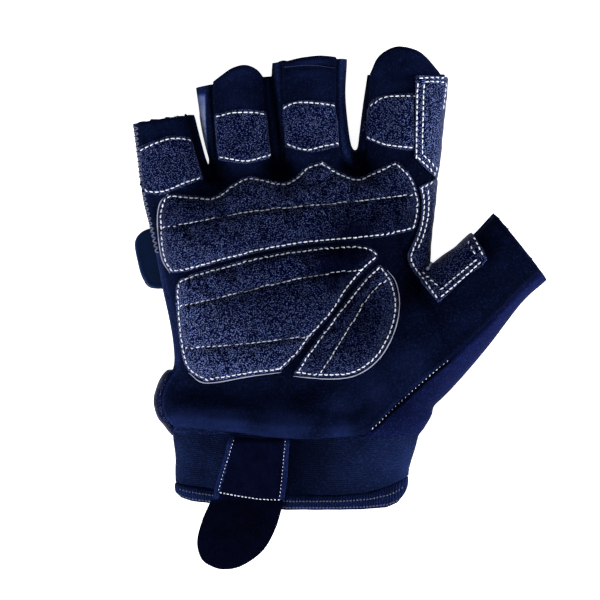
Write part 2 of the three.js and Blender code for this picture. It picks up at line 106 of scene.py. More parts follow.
# The palm panel, clockwise from the left of the hem, in runs named for what meets them.
PALM_RUNS = [
    ("little_side", [(-62.8, -44.6, "c"), (-66.3, -38.5), (-66.5, -32), (-61.4, -23), (-61, -13),
                     (-62.8, -3), (-65.2, 7), (-67.8, 20), (-70.3, 31), (-73, 43),
                     (-75, 56), (-75.9, 69.3, "c")]),
    ("little", [(-75.9, 69.3, "c"), (-56.2, 72.3, "c")]),
    ("fourchette_little_ring", [(-56.2, 72.3, "c"), (-53.7, 62), (-50.8, 51.5),
                                (-49, 47.5), (-46.8, 52), (-47.2, 67), (-48.0, 79),
                                (-47.8, 84.4, "c")]),
    ("ring", [(-47.8, 84.4, "c"), (-44.6, 86.7, "c"), (-40.5, 89.4), (-35.5, 90.7),
              (-31, 89.2), (-28.3, 86.3, "c")]),
    ("fourchette_ring_middle", [(-28.3, 86.3, "c"), (-27.5, 75), (-25.8, 60), (-23.6, 53),
                                (-20.8, 58), (-21.4, 72), (-22.2, 91.7, "c")]),
    ("middle", [(-22.2, 91.7, "c"), (-15, 93.3), (-7.6, 94.1), (-1.0, 93.8, "c")]),
    ("fourchette_middle_index", [(-1.0, 93.8, "c"), (-1.3, 82), (-1.0, 69), (-0.2, 60),
                                 (2.2, 54.5), (6.8, 52), (9.4, 56), (9.6, 66),
                                 (10.1, 77), (10.5, 87.8, "c")]),
    ("index", [(10.5, 87.8, "c"), (13.2, 93.4), (17.6, 96.6), (22.5, 97.6),
               (30, 95.3), (37.9, 87.7, "c")]),
    ("thumb_gusset", [(37.9, 87.7, "c"), (37, 74), (35.4, 59), (34.4, 48), (33, 35),
                      (31.4, 24), (32, 15.5), (35.5, 14), (42, 19), (51, 28),
                      (57.7, 35.4, "c")]),
    ("thumb", [(57.7, 35.4, "c"), (74.8, 13.8, "c")]),
    ("back_panel", [(74.8, 13.8, "c"), (67.5, 7), (60, -0.5), (52.5, -8), (41, -18.5),
                    (30, -28), (20.5, -36.5), (13, -44), (8.4, -47.4, "c")]),
    ("wrist", [(8.4, -47.4, "c"), (-3.8, -48.4), (-15.1, -48.8), (-26.3, -48),
               (-37.6, -46.5), (-52.6, -45.2), (-62.8, -44.6, "c")])]

PADS = {
    "knuckle_pad": {
        "edge": [(-68, 31), (-67.3, 38.5), (-63.8, 42.4), (-54.5, 42), (-47, 41.8),
                 (-40, 46.5), (-34, 49.2), (-22.5, 47), (-17.5, 48.6), (-12.5, 53),
                 (-7, 54.8, "c"), (0, 50.8), (6.5, 48.8), (12, 51), (21, 55, "c"),
                 (26.4, 49), (29.2, 42), (29.4, 35), (28, 29, "c"), (15, 26.2), (0, 24.6),
                 (-15, 23.2), (-30, 20.6), (-45, 16.8), (-58, 13.4), (-63.5, 13, "c"),
                 (-66.6, 19)],
        "channels": [[(-72, 29), (-53, 32), (-38, 35.2), (-23, 37), (-8, 38.5), (8, 39.7),
                      (32, 43)]],
        "backing": [(-63.6, 13), (-66.8, 19), (-68.3, 31), (-67.5, 38.7), (-64.2, 42.5)]},
    "heel_pad": {
        "edge": [(-61.3, 8), (-57, 12), (-45, 15.6), (-30, 19.4), (-15, 22), (0, 23.4),
                 (8, 23.4), (13, 21.4), (13.6, 18.4), (9.5, 14.4), (3.2, 7), (-3, -2),
                 (-10.4, -10.5), (-15.6, -17), (-22, -23.4, "c"), (-34, -25),
                 (-50, -27.6, "c"), (-56.2, -24), (-59, -18.5), (-60.8, -6.5)],
        "channels": [[(-66, -0.6), (-52.5, 2), (-43, 4.2), (-30, 7.6), (-15, 11.2),
                      (0, 13.4), (16, 15.6)],
                     [(-66, -15.6), (-58, -15), (-45, -14.2), (-30, -12.8), (-6, -9.6)]],
        "backing": [(-56.6, -24.2), (-50, -27.9), (-34, -25.4), (-22, -23.8)]},
    "thumb_pad": {
        "edge": [(14.6, 16.6, "c"), (19.4, 10.5), (21.4, 1), (19.4, -9), (14, -18.3),
                 (6, -24.2), (-4, -25.8), (-17.8, -24.8, "c"), (-12.2, -16.2),
                 (-1.4, -1.6), (8.4, 10.8)],
        "channels": [[(-10, -28), (-3.8, -18.8), (1.6, -10), (7.5, 0), (12.5, 7),
                      (22, 14)]],
        "backing": [(17.4, 14), (20.6, 9.5), (21.9, 1), (19.8, -9.2), (14.3, -18.8),
                    (6, -24.8), (-4, -26.3), (-17.6, -25.3)]}}

PATCHES = {
    "little_patch": [(-75, 60, "c"), (-71.3, 61.6), (-63.8, 64.1), (-56, 63.6, "c"),
                     (-51.4, 48.2, "c"), (-56.3, 46.2), (-63.8, 43.2), (-68, 42.1),
                     (-73.4, 43.4, "c")],
    "ring_patch": [(-46.8, 72.3, "c"), (-37, 74), (-28, 73.2, "c"), (-26.2, 56, "c"),
                   (-35, 53.8), (-45.4, 55.2, "c")],
    "middle_patch": [(-21.6, 75.6, "c"), (-14, 77.4), (-2.2, 76.4, "c"),
                     (-0.8, 60, "c"), (-11, 57.9), (-20.4, 60, "c")],
    "index_patch": [(10.8, 76.2, "c"), (15, 79), (27.2, 80, "c"), (27.2, 58.6, "c"),
                    (18, 59.6), (9.6, 63, "c")]}

SADDLE = [(27.9, 86.6, "c"), (48, 86.6, "c"), (46, 60), (45, 35), (49.4, 28.5),
          (51.2, 25), (53.4, 21.4), (54.7, 18, "c"), (52, 15), (47.4, 12.2),
          (36.6, 1.8, "c"), (31, 8.8), (26.4, 14.6), (24.8, 19), (25.7, 22.4), (28.2, 27.6),
          (29.7, 33.4), (30.0, 40), (29.0, 45.2, "c"), (35.4, 48.6, "c"), (31.8, 51.6),
          (27.6, 56, "c")]

TONGUE = [(-40.6, -43.5, "c"), (-44.5, -60), (-47.5, -70), (-51.5, -79), (-53.4, -87),
          (-51.8, -93.5), (-47.5, -96.6), (-42.5, -97.5), (-36.5, -96), (-29.5, -91),
          (-25, -84), (-22, -75), (-20, -64.5), (-18.7, -43.5, "c")]

HEM_END = [(-66, -64), (-64, -66), (-62, -69.2), (-60, -71), (-56, -72.2), (-45, -73.2),
           (-20, -75.2), (8, -75.2), (18, -74.6), (22.4, -72.8), (24.8, -69.6),
           (26.6, -65), (30, -62)]
HEM_SEAM = [(-66, -62.6), (-61.6, -65.9), (-47.7, -68.0), (-18.8, -70.1), (-0.1, -70.1),
            (11.2, -69.0), (18.7, -66.8), (25.0, -63.6), (30, -60)]

# Sewing lines on each piece, seen from above.
PATCH_LINES = {
    "little_patch": [[(-75.0, 58.6), (-71.3, 60.4), (-67.6, 61.9), (-63.8, 63.0),
                      (-60.1, 63.2), (-55.9, 62.5)],
                     [(-73.4, 44.4), (-71.3, 43.5), (-67.6, 43.3), (-63.8, 44.2),
                      (-60.1, 45.8), (-56.3, 47.3), (-52.0, 48.6)]],
    "ring_patch": [[(-46.6, 71.2), (-43.2, 72.0), (-39.5, 72.7), (-32.0, 72.8),
                    (-28.2, 72.1)],
                   [(-45.4, 56.3), (-41.3, 55.6), (-37.6, 54.9), (-33.8, 54.9),
                    (-30.1, 55.9), (-26.5, 57.0)]],
    "middle_patch": [[(-21.5, 74.2), (-18.8, 75.7), (-15.1, 76.5), (-7.6, 76.1),
                      (-2.3, 75.4)],
                     [(-20.2, 61.2), (-15.1, 59.3), (-11.3, 58.9), (-7.6, 59.9),
                      (-1.2, 61.2)]],
    "index_patch": [[(10.7, 75.2), (13.0, 76.5), (14.9, 77.9), (18.7, 78.8),
                     (27.3, 78.9)],
                    [(9.5, 63.9), (14.9, 61.5), (18.7, 60.5), (27.1, 59.6)]]}
SADDLE_LINES = [
    [(28.8, 84.0), (28.5, 78.0), (28.2, 56.4)],
    [(31.1, 83.6), (30.8, 77.5), (30.4, 57.4)],
    [(29.0, 85.5), (34, 85.9), (39.2, 86.0)],
    [(39.6, 84.6), (39.0, 79.0), (38.4, 74.2)],
    [(28.5, 56.2), (33.6, 51.7), (36.2, 49.0)],
    [(30.7, 57.0), (34.6, 53.4), (37.0, 51.0)],
    [(31.2, 84.2), (34.6, 84.4), (38.2, 84.4)],
    [(34.8, 47.2), (30.4, 44.8)],
    [(30.3, 44.6), (31.2, 40.0), (30.9, 33.4), (29.4, 27.4), (27.2, 22.2),
     (26.3, 18.6), (27.8, 15.0), (30.7, 11.2), (33.7, 6.8), (36.0, 3.6)],
    [(32.6, 44.2), (33.0, 39.6), (32.6, 33.6), (31.0, 27.2), (29.0, 22.6)],
    [(30.4, 13.8), (33.6, 10.4), (36.6, 7.8)],
    [(47.4, 25.4), (50.4, 19.2)],
    [(49.6, 26.8), (52.7, 20.0)],
    [(50.8, 18.2), (44, 12.6), (37.6, 7.2)],
    [(52.3, 17.3), (44.6, 10.4), (36.6, 3.7)]]
TONGUE_LINES = [
    [(-39.6, -48.6), (-41.6, -55.1), (-44.0, -62.8), (-45.4, -68.0)],
    [(-20.5, -48.8), (-21.1, -55.1), (-22.0, -64.5), (-22.8, -71.0)],
    [(-45.2, -68.4), (-37.6, -69.8), (-30.1, -70.9), (-23.0, -71.2)]]
THUMB_SEAM_LINE = [(40.4, -19.3), (35.5, -22.9), (29.9, -27.9), (24.3, -33.2),
                   (20.5, -36.6), (16.6, -40.2), (13.6, -43.2), (10.8, -45.5)]
MIDDLE_HEM_LINE = [(-20.9, 89.8), (-11, 90.4), (-2.0, 89.4)]

CRESCENT = [(-62.4, -22.4), (-65.0, -22.9), (-66.8, -25.1), (-68.3, -28.6),
            (-69.6, -31.9), (-70.0, -34.5), (-69.7, -37.5), (-68.3, -41.2),
            (-65.9, -44.2), (-63.4, -47.9)]
CLOSURE = [(-60, 7.6, "c"), (-60, 30.4, "c"), (27, 39.6, "c"), (27, 17.2, "c")]
TAB = [(-60.4, 30.2, "c"), (-67.5, 30.8), (-74.4, 29.2), (-77.6, 25), (-76.6, 17.5),
       (-74.6, 11), (-71, 7.4), (-60.4, 7.6, "c")]

# Soft folds and hollows of the palm: a line, how far it rises, and how wide it is.
FOLDS = [
    ([(-60, -29.5), (-50, -31.5), (-38, -32.5), (-24, -31), (-10, -31)], -2.0, 4.2),
    ([(-62, -40.2), (-45, -41.4), (-26, -43.4), (-8, -44.6), (6, -43.6)], 1.3, 2.8),
    ([(-64, -36), (-52, -37.5), (-40, -37), (-30, -38.5)], 0.5, 1.8),
    ([(20, 25), (22, 20), (24, 14)], -1.5, 3.6),
    ([(29, 8), (33, 2), (36, -5), (38, -11)], -0.9, 1.7),
    ([(33, 9), (38, 3), (41, -3)], 0.5, 1.6),
    ([(25, 3), (28, -6), (27, -15), (22, -24)], -0.35, 3.6),
    ([(-8, -33), (4, -33), (15, -29)], 0.6, 3.0),
    ([(-12, -37), (0, -39), (9, -37)], -0.5, 2.0),
    ([(-69, 33), (-72, 45), (-71, 41)], 0.4, 1.5),
    ([(-52, 46), (-49, 42), (-44, 44)], -0.8, 2.6),
    ([(-26, 52), (-23, 49.5), (-20, 53)], -0.8, 2.6),
    ([(3, 56), (7, 51.5), (11, 56)], -0.8, 2.6),
    ([(-72, 66.5), (-62, 67.5), (-57, 68)], 0.35, 1.5),
    ([(-20, 87), (-11, 88), (-2, 88)], 0.35, 1.6),
    ([(-21.6, 89.4), (-11, 90.4), (0, 90.4)], -0.45, 0.9),
    ([(12, 83), (20, 84.5), (28, 84)], 0.3, 2.0),
    ([(58, 30), (64, 22), (70, 14)], 0.3, 1.6)]


# Painted light and shade on the palm suede, paler where light falls on the fingers, the folds
# and the hem's roll, darker in the hollows at the roots of the fingers: a line, how much, how
# wide.
PAINTED_PALM_LIGHT = [
    ([(-66, 66), (-64, 50)], 0.50, 9), ([(-38, 88), (-37, 60)], 0.52, 10),
    ([(-10, 90), (-9, 60)], 0.42, 11), ([(22, 92), (18, 66)], 0.40, 12),
    ([(64, 24), (50, 10), (44, -2)], 0.14, 13),
    ([(-60, -41), (-30, -43.5), (0, -45)], 1.0, 5.0),
    ([(-64, -34), (-62, -38)], 0.42, 7), ([(-40, -36), (-5, -37)], 0.22, 5),
    ([(2, -40), (18, -32), (29, -20)], 0.40, 11), ([(34, -16), (26, -4)], 0.20, 8),
    ([(-66, 8), (-63.5, -12), (-62, -22)], 0.32, 5),
    ([(-46.6, 54), (-44.5, 48)], -1.0, 2.6), ([(-23.6, 53), (-21, 49)], -1.0, 2.8),
    ([(4, 53.5), (9.5, 51.5)], -1.1, 3.0)]

# Painted light and shade on the leather of the pads and the saddle, paler where it is lit and
# darker where it is in shade: a place, how much, how wide.
PAINTED_LEATHER_LIGHT = [
    ((-50, -21), 1.60, 15), ((-57, 2), 0.95, 12), ((-28, -20), 0.35, 12),
    ((-58, 20), 0.30, 9), ((-60, 37), -0.30, 9), ((-2, 18), -1.0, 12),
    ((-22, 20), -0.30, 10), ((-28, -3), -0.30, 11), ((22, 36), -0.72, 15),
    ((6, 28), -0.55, 9), ((8, -7), -0.74, 16), ((-27, 39), 0.22, 10),
    ((-12, -21), -0.30, 8), ((20, 86), 0.5, 12), ((40, 66), 0.85, 22),
    ((30, 22), -0.1, 10)]

# Painted light and shade on the cuff, paler on its lit sides and darker in its middle.
PAINTED_CUFF_LIGHT = [((-60, -56), 0.22, 8), ((-54, -64), 0.10, 9), ((22, -58), 0.62, 13),
              ((4, -62), 0.18, 12), ((-18, -56), -0.35, 13)]


# ---------------------------------------------------------------------------
# Sizes and colours that a user may change
# ---------------------------------------------------------------------------

class GloveSizes(PropertyGroup):
    """Thicknesses, sewing and stuffing of the glove"""
    fineness: FloatProperty(
        name="Fineness", description="Size of the net that the hand's form is made of",
        default=0.0008, min=0.0005, max=0.003, unit="LENGTH", subtype="DISTANCE")
    suede: FloatProperty(
        name="Suede", description="Thickness of the palm suede",
        default=0.0014, min=0.0005, max=0.003, unit="LENGTH", subtype="DISTANCE")
    knit: FloatProperty(
        name="Knit", description="Thickness of the knit sides and back",
        default=0.0012, min=0.0005, max=0.003, unit="LENGTH", subtype="DISTANCE")
    leather: FloatProperty(
        name="Leather", description="How far the leather patches stand above the suede",
        default=0.0009, min=0.0003, max=0.003, unit="LENGTH", subtype="DISTANCE")
    pad_height: FloatProperty(
        name="Pad height", description="How far the quilted pads rise above the palm",
        default=0.0034, min=0.001, max=0.006, unit="LENGTH", subtype="DISTANCE")
    stuffing: FloatProperty(
        name="Stuffing", description="Pressure of the foam under the quilted leather",
        default=5.0, min=0.0, max=40.0)
    stitch_pitch: FloatProperty(
        name="Stitch pitch", description="Distance from one stitch to the next",
        default=0.00205, min=0.001, max=0.006, unit="LENGTH", subtype="DISTANCE")
    stitch_width: FloatProperty(
        name="Thread", description="Thickness of the sewing thread",
        default=0.00049, min=0.0002, max=0.0015, unit="LENGTH", subtype="DISTANCE")
    settle_frames: IntProperty(
        name="Settling", description="Steps that the quilted leather gets to settle",
        default=16, min=2, max=60)


class GloveColours(PropertyGroup):
    """Colours of the glove's materials"""
    suede: FloatVectorProperty(
        name="Suede", description="Dark navy suede of the palm", subtype="COLOR",
        size=3, min=0, max=1, default=(0.0005, 0.00098, 0.0044))
    leather: FloatVectorProperty(
        name="Leather", description="Deep tone of the pebbled leather", subtype="COLOR",
        size=3, min=0, max=1, default=(0.00017, 0.00108, 0.01375))
    # the pale tops of the grain are painted glints of light
    leather_grain_glint: FloatVectorProperty(
        name="Leather grain", description="Pale tops of the leather's grain",
        subtype="COLOR", size=3, min=0, max=1, default=(0.20833, 0.27917, 0.63333))
    knit: FloatVectorProperty(
        name="Back knit", description="Blue violet knit of the back", subtype="COLOR",
        size=3, min=0, max=1, default=(0.00133, 0.00233, 0.01417))
    side: FloatVectorProperty(
        name="Side knit", description="Navy knit between the fingers", subtype="COLOR",
        size=3, min=0, max=1, default=(0.0025, 0.00483, 0.02083))
    cuff: FloatVectorProperty(
        name="Cuff", description="Navy stretch cloth of the cuff", subtype="COLOR",
        size=3, min=0, max=1, default=(0.00108, 0.00217, 0.009))
    hem: FloatVectorProperty(
        name="Hem", description="Navy hem of the cuff", subtype="COLOR",
        size=3, min=0, max=1, default=(0.0015, 0.00308, 0.01433))
    tongue: FloatVectorProperty(
        name="Tongue", description="Dark suede of the pull tongue", subtype="COLOR",
        size=3, min=0, max=1, default=(0.00042, 0.00067, 0.0035))
    rubber: FloatVectorProperty(
        name="Rubber", description="Deep blue rubber of the fastening's end",
        subtype="COLOR", size=3, min=0, max=1, default=(0.0005, 0.00417, 0.02333))
    webbing: FloatVectorProperty(
        name="Webbing", description="Navy tape of the fastening", subtype="COLOR",
        size=3, min=0, max=1, default=(0.0025, 0.00417, 0.01667))
    thread: FloatVectorProperty(
        name="Thread", description="Blue-white sewing thread", subtype="COLOR",
        size=3, min=0, max=1, default=(0.82, 0.86, 1.0))
    navy_thread: FloatVectorProperty(
        name="Navy thread", description="Thread of the overlocked seams",
        subtype="COLOR", size=3, min=0, max=1, default=(0.016, 0.027, 0.086))
    backing: FloatVectorProperty(
        name="Backing", description="Pale cut edge of the pads", subtype="COLOR",
        size=3, min=0, max=1, default=(0.33333, 0.35, 0.5))
    floor: FloatVectorProperty(
        name="Floor", description="Pale floor under the glove", subtype="COLOR",
        size=3, min=0, max=1, default=(0.93, 0.93, 0.94))


class GloveStudio(PropertyGroup):
    """Light and camera of the studio"""
    lens: FloatProperty(
        name="Lens", description="Focal length of the camera, in millimetres",
        default=200.0, min=20.0, max=400.0)
    view_width: FloatProperty(
        name="View width", description="Width of what the camera sees",
        default=0.225, min=0.05, max=2.0, unit="LENGTH", subtype="DISTANCE")
    overhead: FloatProperty(
        name="Overhead light", description="Strength of the large light above",
        default=6.5, min=0.0, max=500.0, unit="POWER")
    left: FloatProperty(
        name="Left light", description="Strength of the low light on the left",
        default=11.3, min=0.0, max=500.0, unit="POWER")
    right: FloatProperty(
        name="Right light", description="Strength of the low light on the right",
        default=7.7, min=0.0, max=500.0, unit="POWER")
    surround: FloatProperty(
        name="Surround", description="Brightness of the white room",
        default=0.18, min=0.0, max=5.0)
    floor_visible: BoolProperty(
        name="Floor", description="Show the pale floor", default=True)


def sizes():
    return bpy.context.scene.glove_sizes


def colours():
    return bpy.context.scene.glove_colours


def studio():
    return bpy.context.scene.glove_studio


# ---------------------------------------------------------------------------
# Lines and outlines
# ---------------------------------------------------------------------------

def smooth_run(points, step):
    """A smooth line through the points, in even steps."""
    p = np.asarray(points, float)
    if len(p) > 2:
        ends = np.vstack([2 * p[0] - p[1], p, 2 * p[-1] - p[-2]])
        t = np.linspace(0, 1, 20, endpoint=False)[:, None]
        parts = []
        for i in range(1, len(ends) - 2):
            a, b, c, d = ends[i - 1], ends[i], ends[i + 1], ends[i + 2]
            parts.append(0.5 * (2 * b + (c - a) * t + (2 * a - 5 * b + 4 * c - d) * t ** 2
                                + (3 * b - a - 3 * c + d) * t ** 3))
        p = np.vstack(parts + [p[-1:]])
    length = np.r_[0, np.cumsum(np.linalg.norm(np.diff(p, axis=0), axis=1))]
    count = max(1, int(round(length[-1] / step)))
    at = np.linspace(0, length[-1], count + 1)
    return np.column_stack([np.interp(at, length, p[:, k]) for k in range(p.shape[1])])


def outline(points, step=1.0):
    """A closed outline in even steps, smooth except at its corners."""
    corners = [i for i, p in enumerate(points) if len(p) > 2]
    plain = [tuple(p[:2]) for p in points]
    if not corners:
        wrapped = plain[-3:] + plain + plain[:4]
        line = smooth_run(wrapped, step / 4)
        first = np.argmin(np.linalg.norm(line - np.array(plain[0]), axis=1)[:len(line) // 2])
        rest = np.linalg.norm(line[first + 8:] - np.array(plain[0]), axis=1)
        last = first + 8 + int(np.argmin(rest))
        return smooth_line(line[first:last + 1], step)[:-1]
    plain = plain[corners[0]:] + plain[:corners[0]] + [plain[corners[0]]]
    marks = [c - corners[0] for c in corners] + [len(points)]
    runs = [smooth_run(plain[a:b + 1], step)[:-1] for a, b in zip(marks[:-1], marks[1:])]
    return np.vstack(runs)


def smooth_line(line, step):
    """The same line in even steps."""
    length = np.r_[0, np.cumsum(np.linalg.norm(np.diff(line, axis=0), axis=1))]
    count = max(1, int(round(length[-1] / step)))
    at = np.linspace(0, length[-1], count + 1)
    return np.column_stack([np.interp(at, length, line[:, k])
                            for k in range(line.shape[1])])


def away(points, line, closed=False):
    """How far each point is from a line, and which part of the line is nearest."""
    a = line if closed else line[:-1]
    b = np.roll(line, -1, axis=0) if closed else line[1:]
    ab = b - a
    size = np.maximum((ab ** 2).sum(1), 1e-12)
    far = np.empty(len(points))
    part = np.empty(len(points), int)
    for i in range(0, len(points), 3000):
        p = points[i:i + 3000]
        dx = p[:, None, 0] - a[None, :, 0]
        dy = p[:, None, 1] - a[None, :, 1]
        t = np.clip((dx * ab[:, 0] + dy * ab[:, 1]) / size, 0, 1)
        d = (dx - t * ab[:, 0]) ** 2 + (dy - t * ab[:, 1]) ** 2
        k = d.argmin(1)
        part[i:i + 3000] = k
        far[i:i + 3000] = np.sqrt(d[np.arange(len(p)), k])
    return far, part


def inside(points, loop):
    """Which points lie inside a closed outline."""
    a, b = loop, np.roll(loop, -1, axis=0)
    out = np.zeros(len(points), bool)
    for i in range(0, len(points), 3000):
        p = points[i:i + 3000]
        x, y = p[:, 0:1], p[:, 1:2]
        crosses = (a[:, 1] > y) != (b[:, 1] > y)
        drop = np.where(b[:, 1] == a[:, 1], 1e-12, b[:, 1] - a[:, 1])
        at = a[:, 0] + (y - a[:, 1]) * (b[:, 0] - a[:, 0]) / drop
        out[i:i + 3000] = ((crosses & (x < at)).sum(1) % 2) == 1
    return out


def depth(points, loop):
    """How deep inside an outline each point is; less than 0 is outside."""
    far, part = away(points, loop, closed=True)
    return np.where(inside(points, loop), far, -far), part


def swell(d, width):
    """From 0 at the line to 1 further off than the width."""
    t = np.clip(d / width, 0, 1)
    return t * t * (3 - 2 * t)


def toned(points, places):
    """How much paler or darker each point is: a little uneven tone, and the painted light and
    shade of a short list of places.
    """
    out = 0.06 * unevenness(points[:, :2], 14, 97)
    for middle, share, width in places:
        far = np.linalg.norm(points[:, :2] - middle, axis=1)
        out += share * np.exp(-(far / width) ** 2)
    return np.maximum(out, -0.97)


def unevenness(points, size, seed):
    """Gentle uneven waves, about 1 high, over points in the plane or in space."""
    rng = np.random.default_rng(seed)
    out = np.zeros(len(points))
    for _ in range(7):
        way = rng.normal(size=points.shape[1])
        way *= 2 * math.pi / (size * rng.uniform(0.6, 1.7)) / np.linalg.norm(way)
        out += np.sin(points @ way + rng.uniform(0, 6.28))
    return out / 2.6


# ---------------------------------------------------------------------------
# Meshes: corners in millimetres and lists of faces
# ---------------------------------------------------------------------------

def grid(points, round_u=False, round_v=False):
    """Faces of a net of points [rows, columns, 3]."""
    rows, cols = points.shape[:2]
    faces = []
    for i in range(rows if round_u else rows - 1):
        for j in range(cols if round_v else cols - 1):
            a, b = i * cols, ((i + 1) % rows) * cols
            k = (j + 1) % cols
            faces.append((a + j, a + k, b + k, b + j))
    return points.reshape(-1, 3), faces


def merge(pieces):
    """Several meshes as one."""
    points, faces, start = [], [], 0
    for p, f in pieces:
        points.append(p)
        faces += [tuple(k + start for k in face) for face in f]
        start += len(p)
    return np.vstack(points), faces


def corner_normals(points, faces):
    """Smooth outward direction at each corner."""
    out = np.zeros_like(points)
    for count in (3, 4):
        f = np.array([x for x in faces if len(x) == count])
        if len(f):
            a = points[f[:, 2]] - points[f[:, 0]]
            b = points[f[:, count - 1]] - points[f[:, 1]]
            n = np.cross(a, b)
            for k in range(count):
                np.add.at(out, f[:, k], n)
    for face in faces:
        if len(face) > 4:
            p = points[list(face)]
            n = np.cross(p[1:-1] - p[0], p[2:] - p[0]).sum(0)
            out[list(face)] += n
    return out / np.maximum(np.linalg.norm(out, axis=1), 1e-9)[:, None]


def clip(points, faces, value):
    """The part of a mesh where value is 0 or more, cut cleanly along the line of 0."""
    keep = value >= 0
    points = list(map(tuple, points))
    cut, out = {}, []

    def crossing(a, b):
        key = (a, b) if a < b else (b, a)
        if key not in cut:
            a, b = key
            t = value[a] / (value[a] - value[b])
            t = min(max(t, 0.02), 0.98)
            pa, pb = points[a], points[b]
            cut[key] = len(points)
            points.append(tuple(pa[k] + (pb[k] - pa[k]) * t for k in range(3)))
        return cut[key]

    for face in faces:
        state = [keep[k] for k in face]
        if all(state):
            out.append(tuple(face))
        elif any(state):
            new = []
            for i, a in enumerate(face):
                b = face[(i + 1) % len(face)]
                if keep[a]:
                    new.append(a)
                if keep[a] != keep[b]:
                    new.append(crossing(a, b))
            if len(new) > 2:
                out.append(tuple(new))
    points = np.array(points)
    used = np.zeros(len(points), bool)
    for face in out:
        for k in face:
            used[k] = True
    number = np.cumsum(used) - 1
    return points[used], [tuple(int(number[k]) for k in face) for face in out]


def thicken(points, faces, thickness, normals=None):
    """A closed skin: the outer face, an inner face and the cut edge between them."""
    n = corner_normals(points, faces) if normals is None else normals
    t = np.broadcast_to(np.asarray(thickness, float), (len(points),))[:, None]
    count = len(points)
    edges = {}
    for face in faces:
        for i, a in enumerate(face):
            edges[(a, face[(i + 1) % len(face)])] = True
    rim = [(b, a, a + count, b + count) for a, b in edges if (b, a) not in edges]
    inner = [tuple(k + count for k in reversed(face)) for face in faces]
    kinds = [0] * len(faces) + [1] * len(inner) + [2] * len(rim)
    return np.vstack([points, points - n * t]), list(faces) + inner + rim, kinds


def cut_sheet(loop, spacing, lines=()):
    """A flat sheet cut to an outline, with corners along the sewing lines."""
    low, high = loop.min(0), loop.max(0)
    rows = np.arange(low[1], high[1], spacing * 0.866)
    spots = []
    for i, y in enumerate(rows):
        x = np.arange(low[0] + (i % 2) * spacing / 2, high[0], spacing)
        spots.append(np.column_stack([x, np.full(len(x), y)]))
    spots = np.vstack(spots)
    deep, _ = depth(spots, loop)
    spots = spots[deep > spacing * 0.6]
    kept = []
    for line in lines:
        deep, _ = depth(line, loop)
        line = line[deep > spacing * 0.5]
        if len(line) > 1:
            spots = spots[away(spots, line)[0] > spacing * 0.55]
            kept.append(line)
    every = np.vstack([loop] + kept + [spots])
    edges = [(i, (i + 1) % len(loop)) for i in range(len(loop))]
    result = delaunay_2d_cdt([Vector(p) for p in every], edges, [], 0, 1e-4)
    points = np.array([tuple(v) for v in result[0]])
    faces = np.array([f for f in result[2] if len(f) == 3])
    middle = points[faces].mean(1)
    faces = faces[inside(middle, loop)]
    a, b, c = points[faces[:, 0]], points[faces[:, 1]], points[faces[:, 2]]
    area = (b[:, 0] - a[:, 0]) * (c[:, 1] - a[:, 1]) - (b[:, 1] - a[:, 1]) * (c[:, 0] - a[:, 0])
    faces = faces[np.abs(area) > 1e-5]
    area = area[np.abs(area) > 1e-5]
    faces[area < 0] = faces[area < 0][:, ::-1]
    return points, [tuple(int(k) for k in f) for f in faces]


def tube(path, radius, sides=6, closed=False):
    """A round thread along a path in space."""
    path = np.asarray(path, float)
    ahead = np.roll(path, -1, 0) - np.roll(path, 1, 0)
    if not closed:
        ahead[0], ahead[-1] = path[1] - path[0], path[-1] - path[-2]
    ahead /= np.maximum(np.linalg.norm(ahead, axis=1), 1e-9)[:, None]
    up = np.tile([0.12, 0.2, 1.0], (len(path), 1))
    side = np.cross(ahead, up)
    side /= np.maximum(np.linalg.norm(side, axis=1), 1e-9)[:, None]
    up = np.cross(side, ahead)
    turn = np.linspace(0, 2 * math.pi, sides, endpoint=False)
    radius = np.broadcast_to(np.asarray(radius, float), (len(path),))
    ring = (side[:, None] * np.cos(turn)[None, :, None]
            + up[:, None] * np.sin(turn)[None, :, None]) * radius[:, None, None]
    points, faces = grid(path[:, None] + ring, closed, True)
    if not closed:
        faces.append(tuple(range(sides)))
        faces.append(tuple(reversed(range(len(points) - sides, len(points)))))
    return points, faces


def tree(points, faces):
    return BVHTree.FromPolygons([Vector(p) for p in points], faces)


def drop(trees, xy):
    """Highest point and its direction under each point seen from above."""
    spots = np.full((len(xy), 3), np.nan)
    normals = np.tile([0.0, 0.0, 1.0], (len(xy), 1))
    down = Vector((0, 0, -1))
    for i, (x, y) in enumerate(xy):
        best = -1.0
        for one in trees:
            hit, n, _, _ = one.ray_cast(Vector((x, y, 90)), down)
            if hit is not None and hit.z > best:
                best = hit.z
                spots[i] = hit
                normals[i] = n if n.z > 0 else -n
    return spots, normals


# ---------------------------------------------------------------------------
# The hand's form, on which every panel lies
# ---------------------------------------------------------------------------

FORM = {}


def section(row, count=64):
    """One cross-section of the hand, a rounded box on the line from left to right."""
    left, right, top = np.array(row[0:2]), np.array(row[2:4]), row[4]
    t = np.linspace(0, 2 * math.pi, count, endpoint=False)
    power = np.where(np.sin(t) >= 0, 2.3, 4.5)
    u = np.sign(np.cos(t)) * np.abs(np.cos(t)) ** (2 / power)
    w = np.sign(np.sin(t)) * np.abs(np.sin(t)) ** (2 / power)
    xy = (left + right) / 2 + u[:, None] * (right - left) / 2
    z = WIDEST + w * np.where(w >= 0, top - WIDEST, WIDEST - BACK_LEVEL)
    return np.column_stack([xy, z])


def loft(rows, before=0.0, after=0.0):
    """A closed body through rows of cross-sections, run on past its ends."""
    rows = np.array(rows, float)

    def beyond(a, b, length):
        d = (a[0:2] + a[2:4] - b[0:2] - b[2:4]) / 2
        move = np.r_[d, d, 0] / np.linalg.norm(d) * length
        return a + move

    if before:
        rows = np.vstack([beyond(rows[0], rows[1], before), rows])
    if after:
        rows = np.vstack([rows, beyond(rows[-1], rows[-2], after)])
    fine = smooth_run(rows, 2.0)
    rings = np.array([section(r) for r in fine])
    points, faces = grid(rings, False, True)
    n = rings.shape[1]
    faces.append(tuple(reversed(range(n))))
    faces.append(tuple(range(len(points) - n, len(points))))
    return points, faces


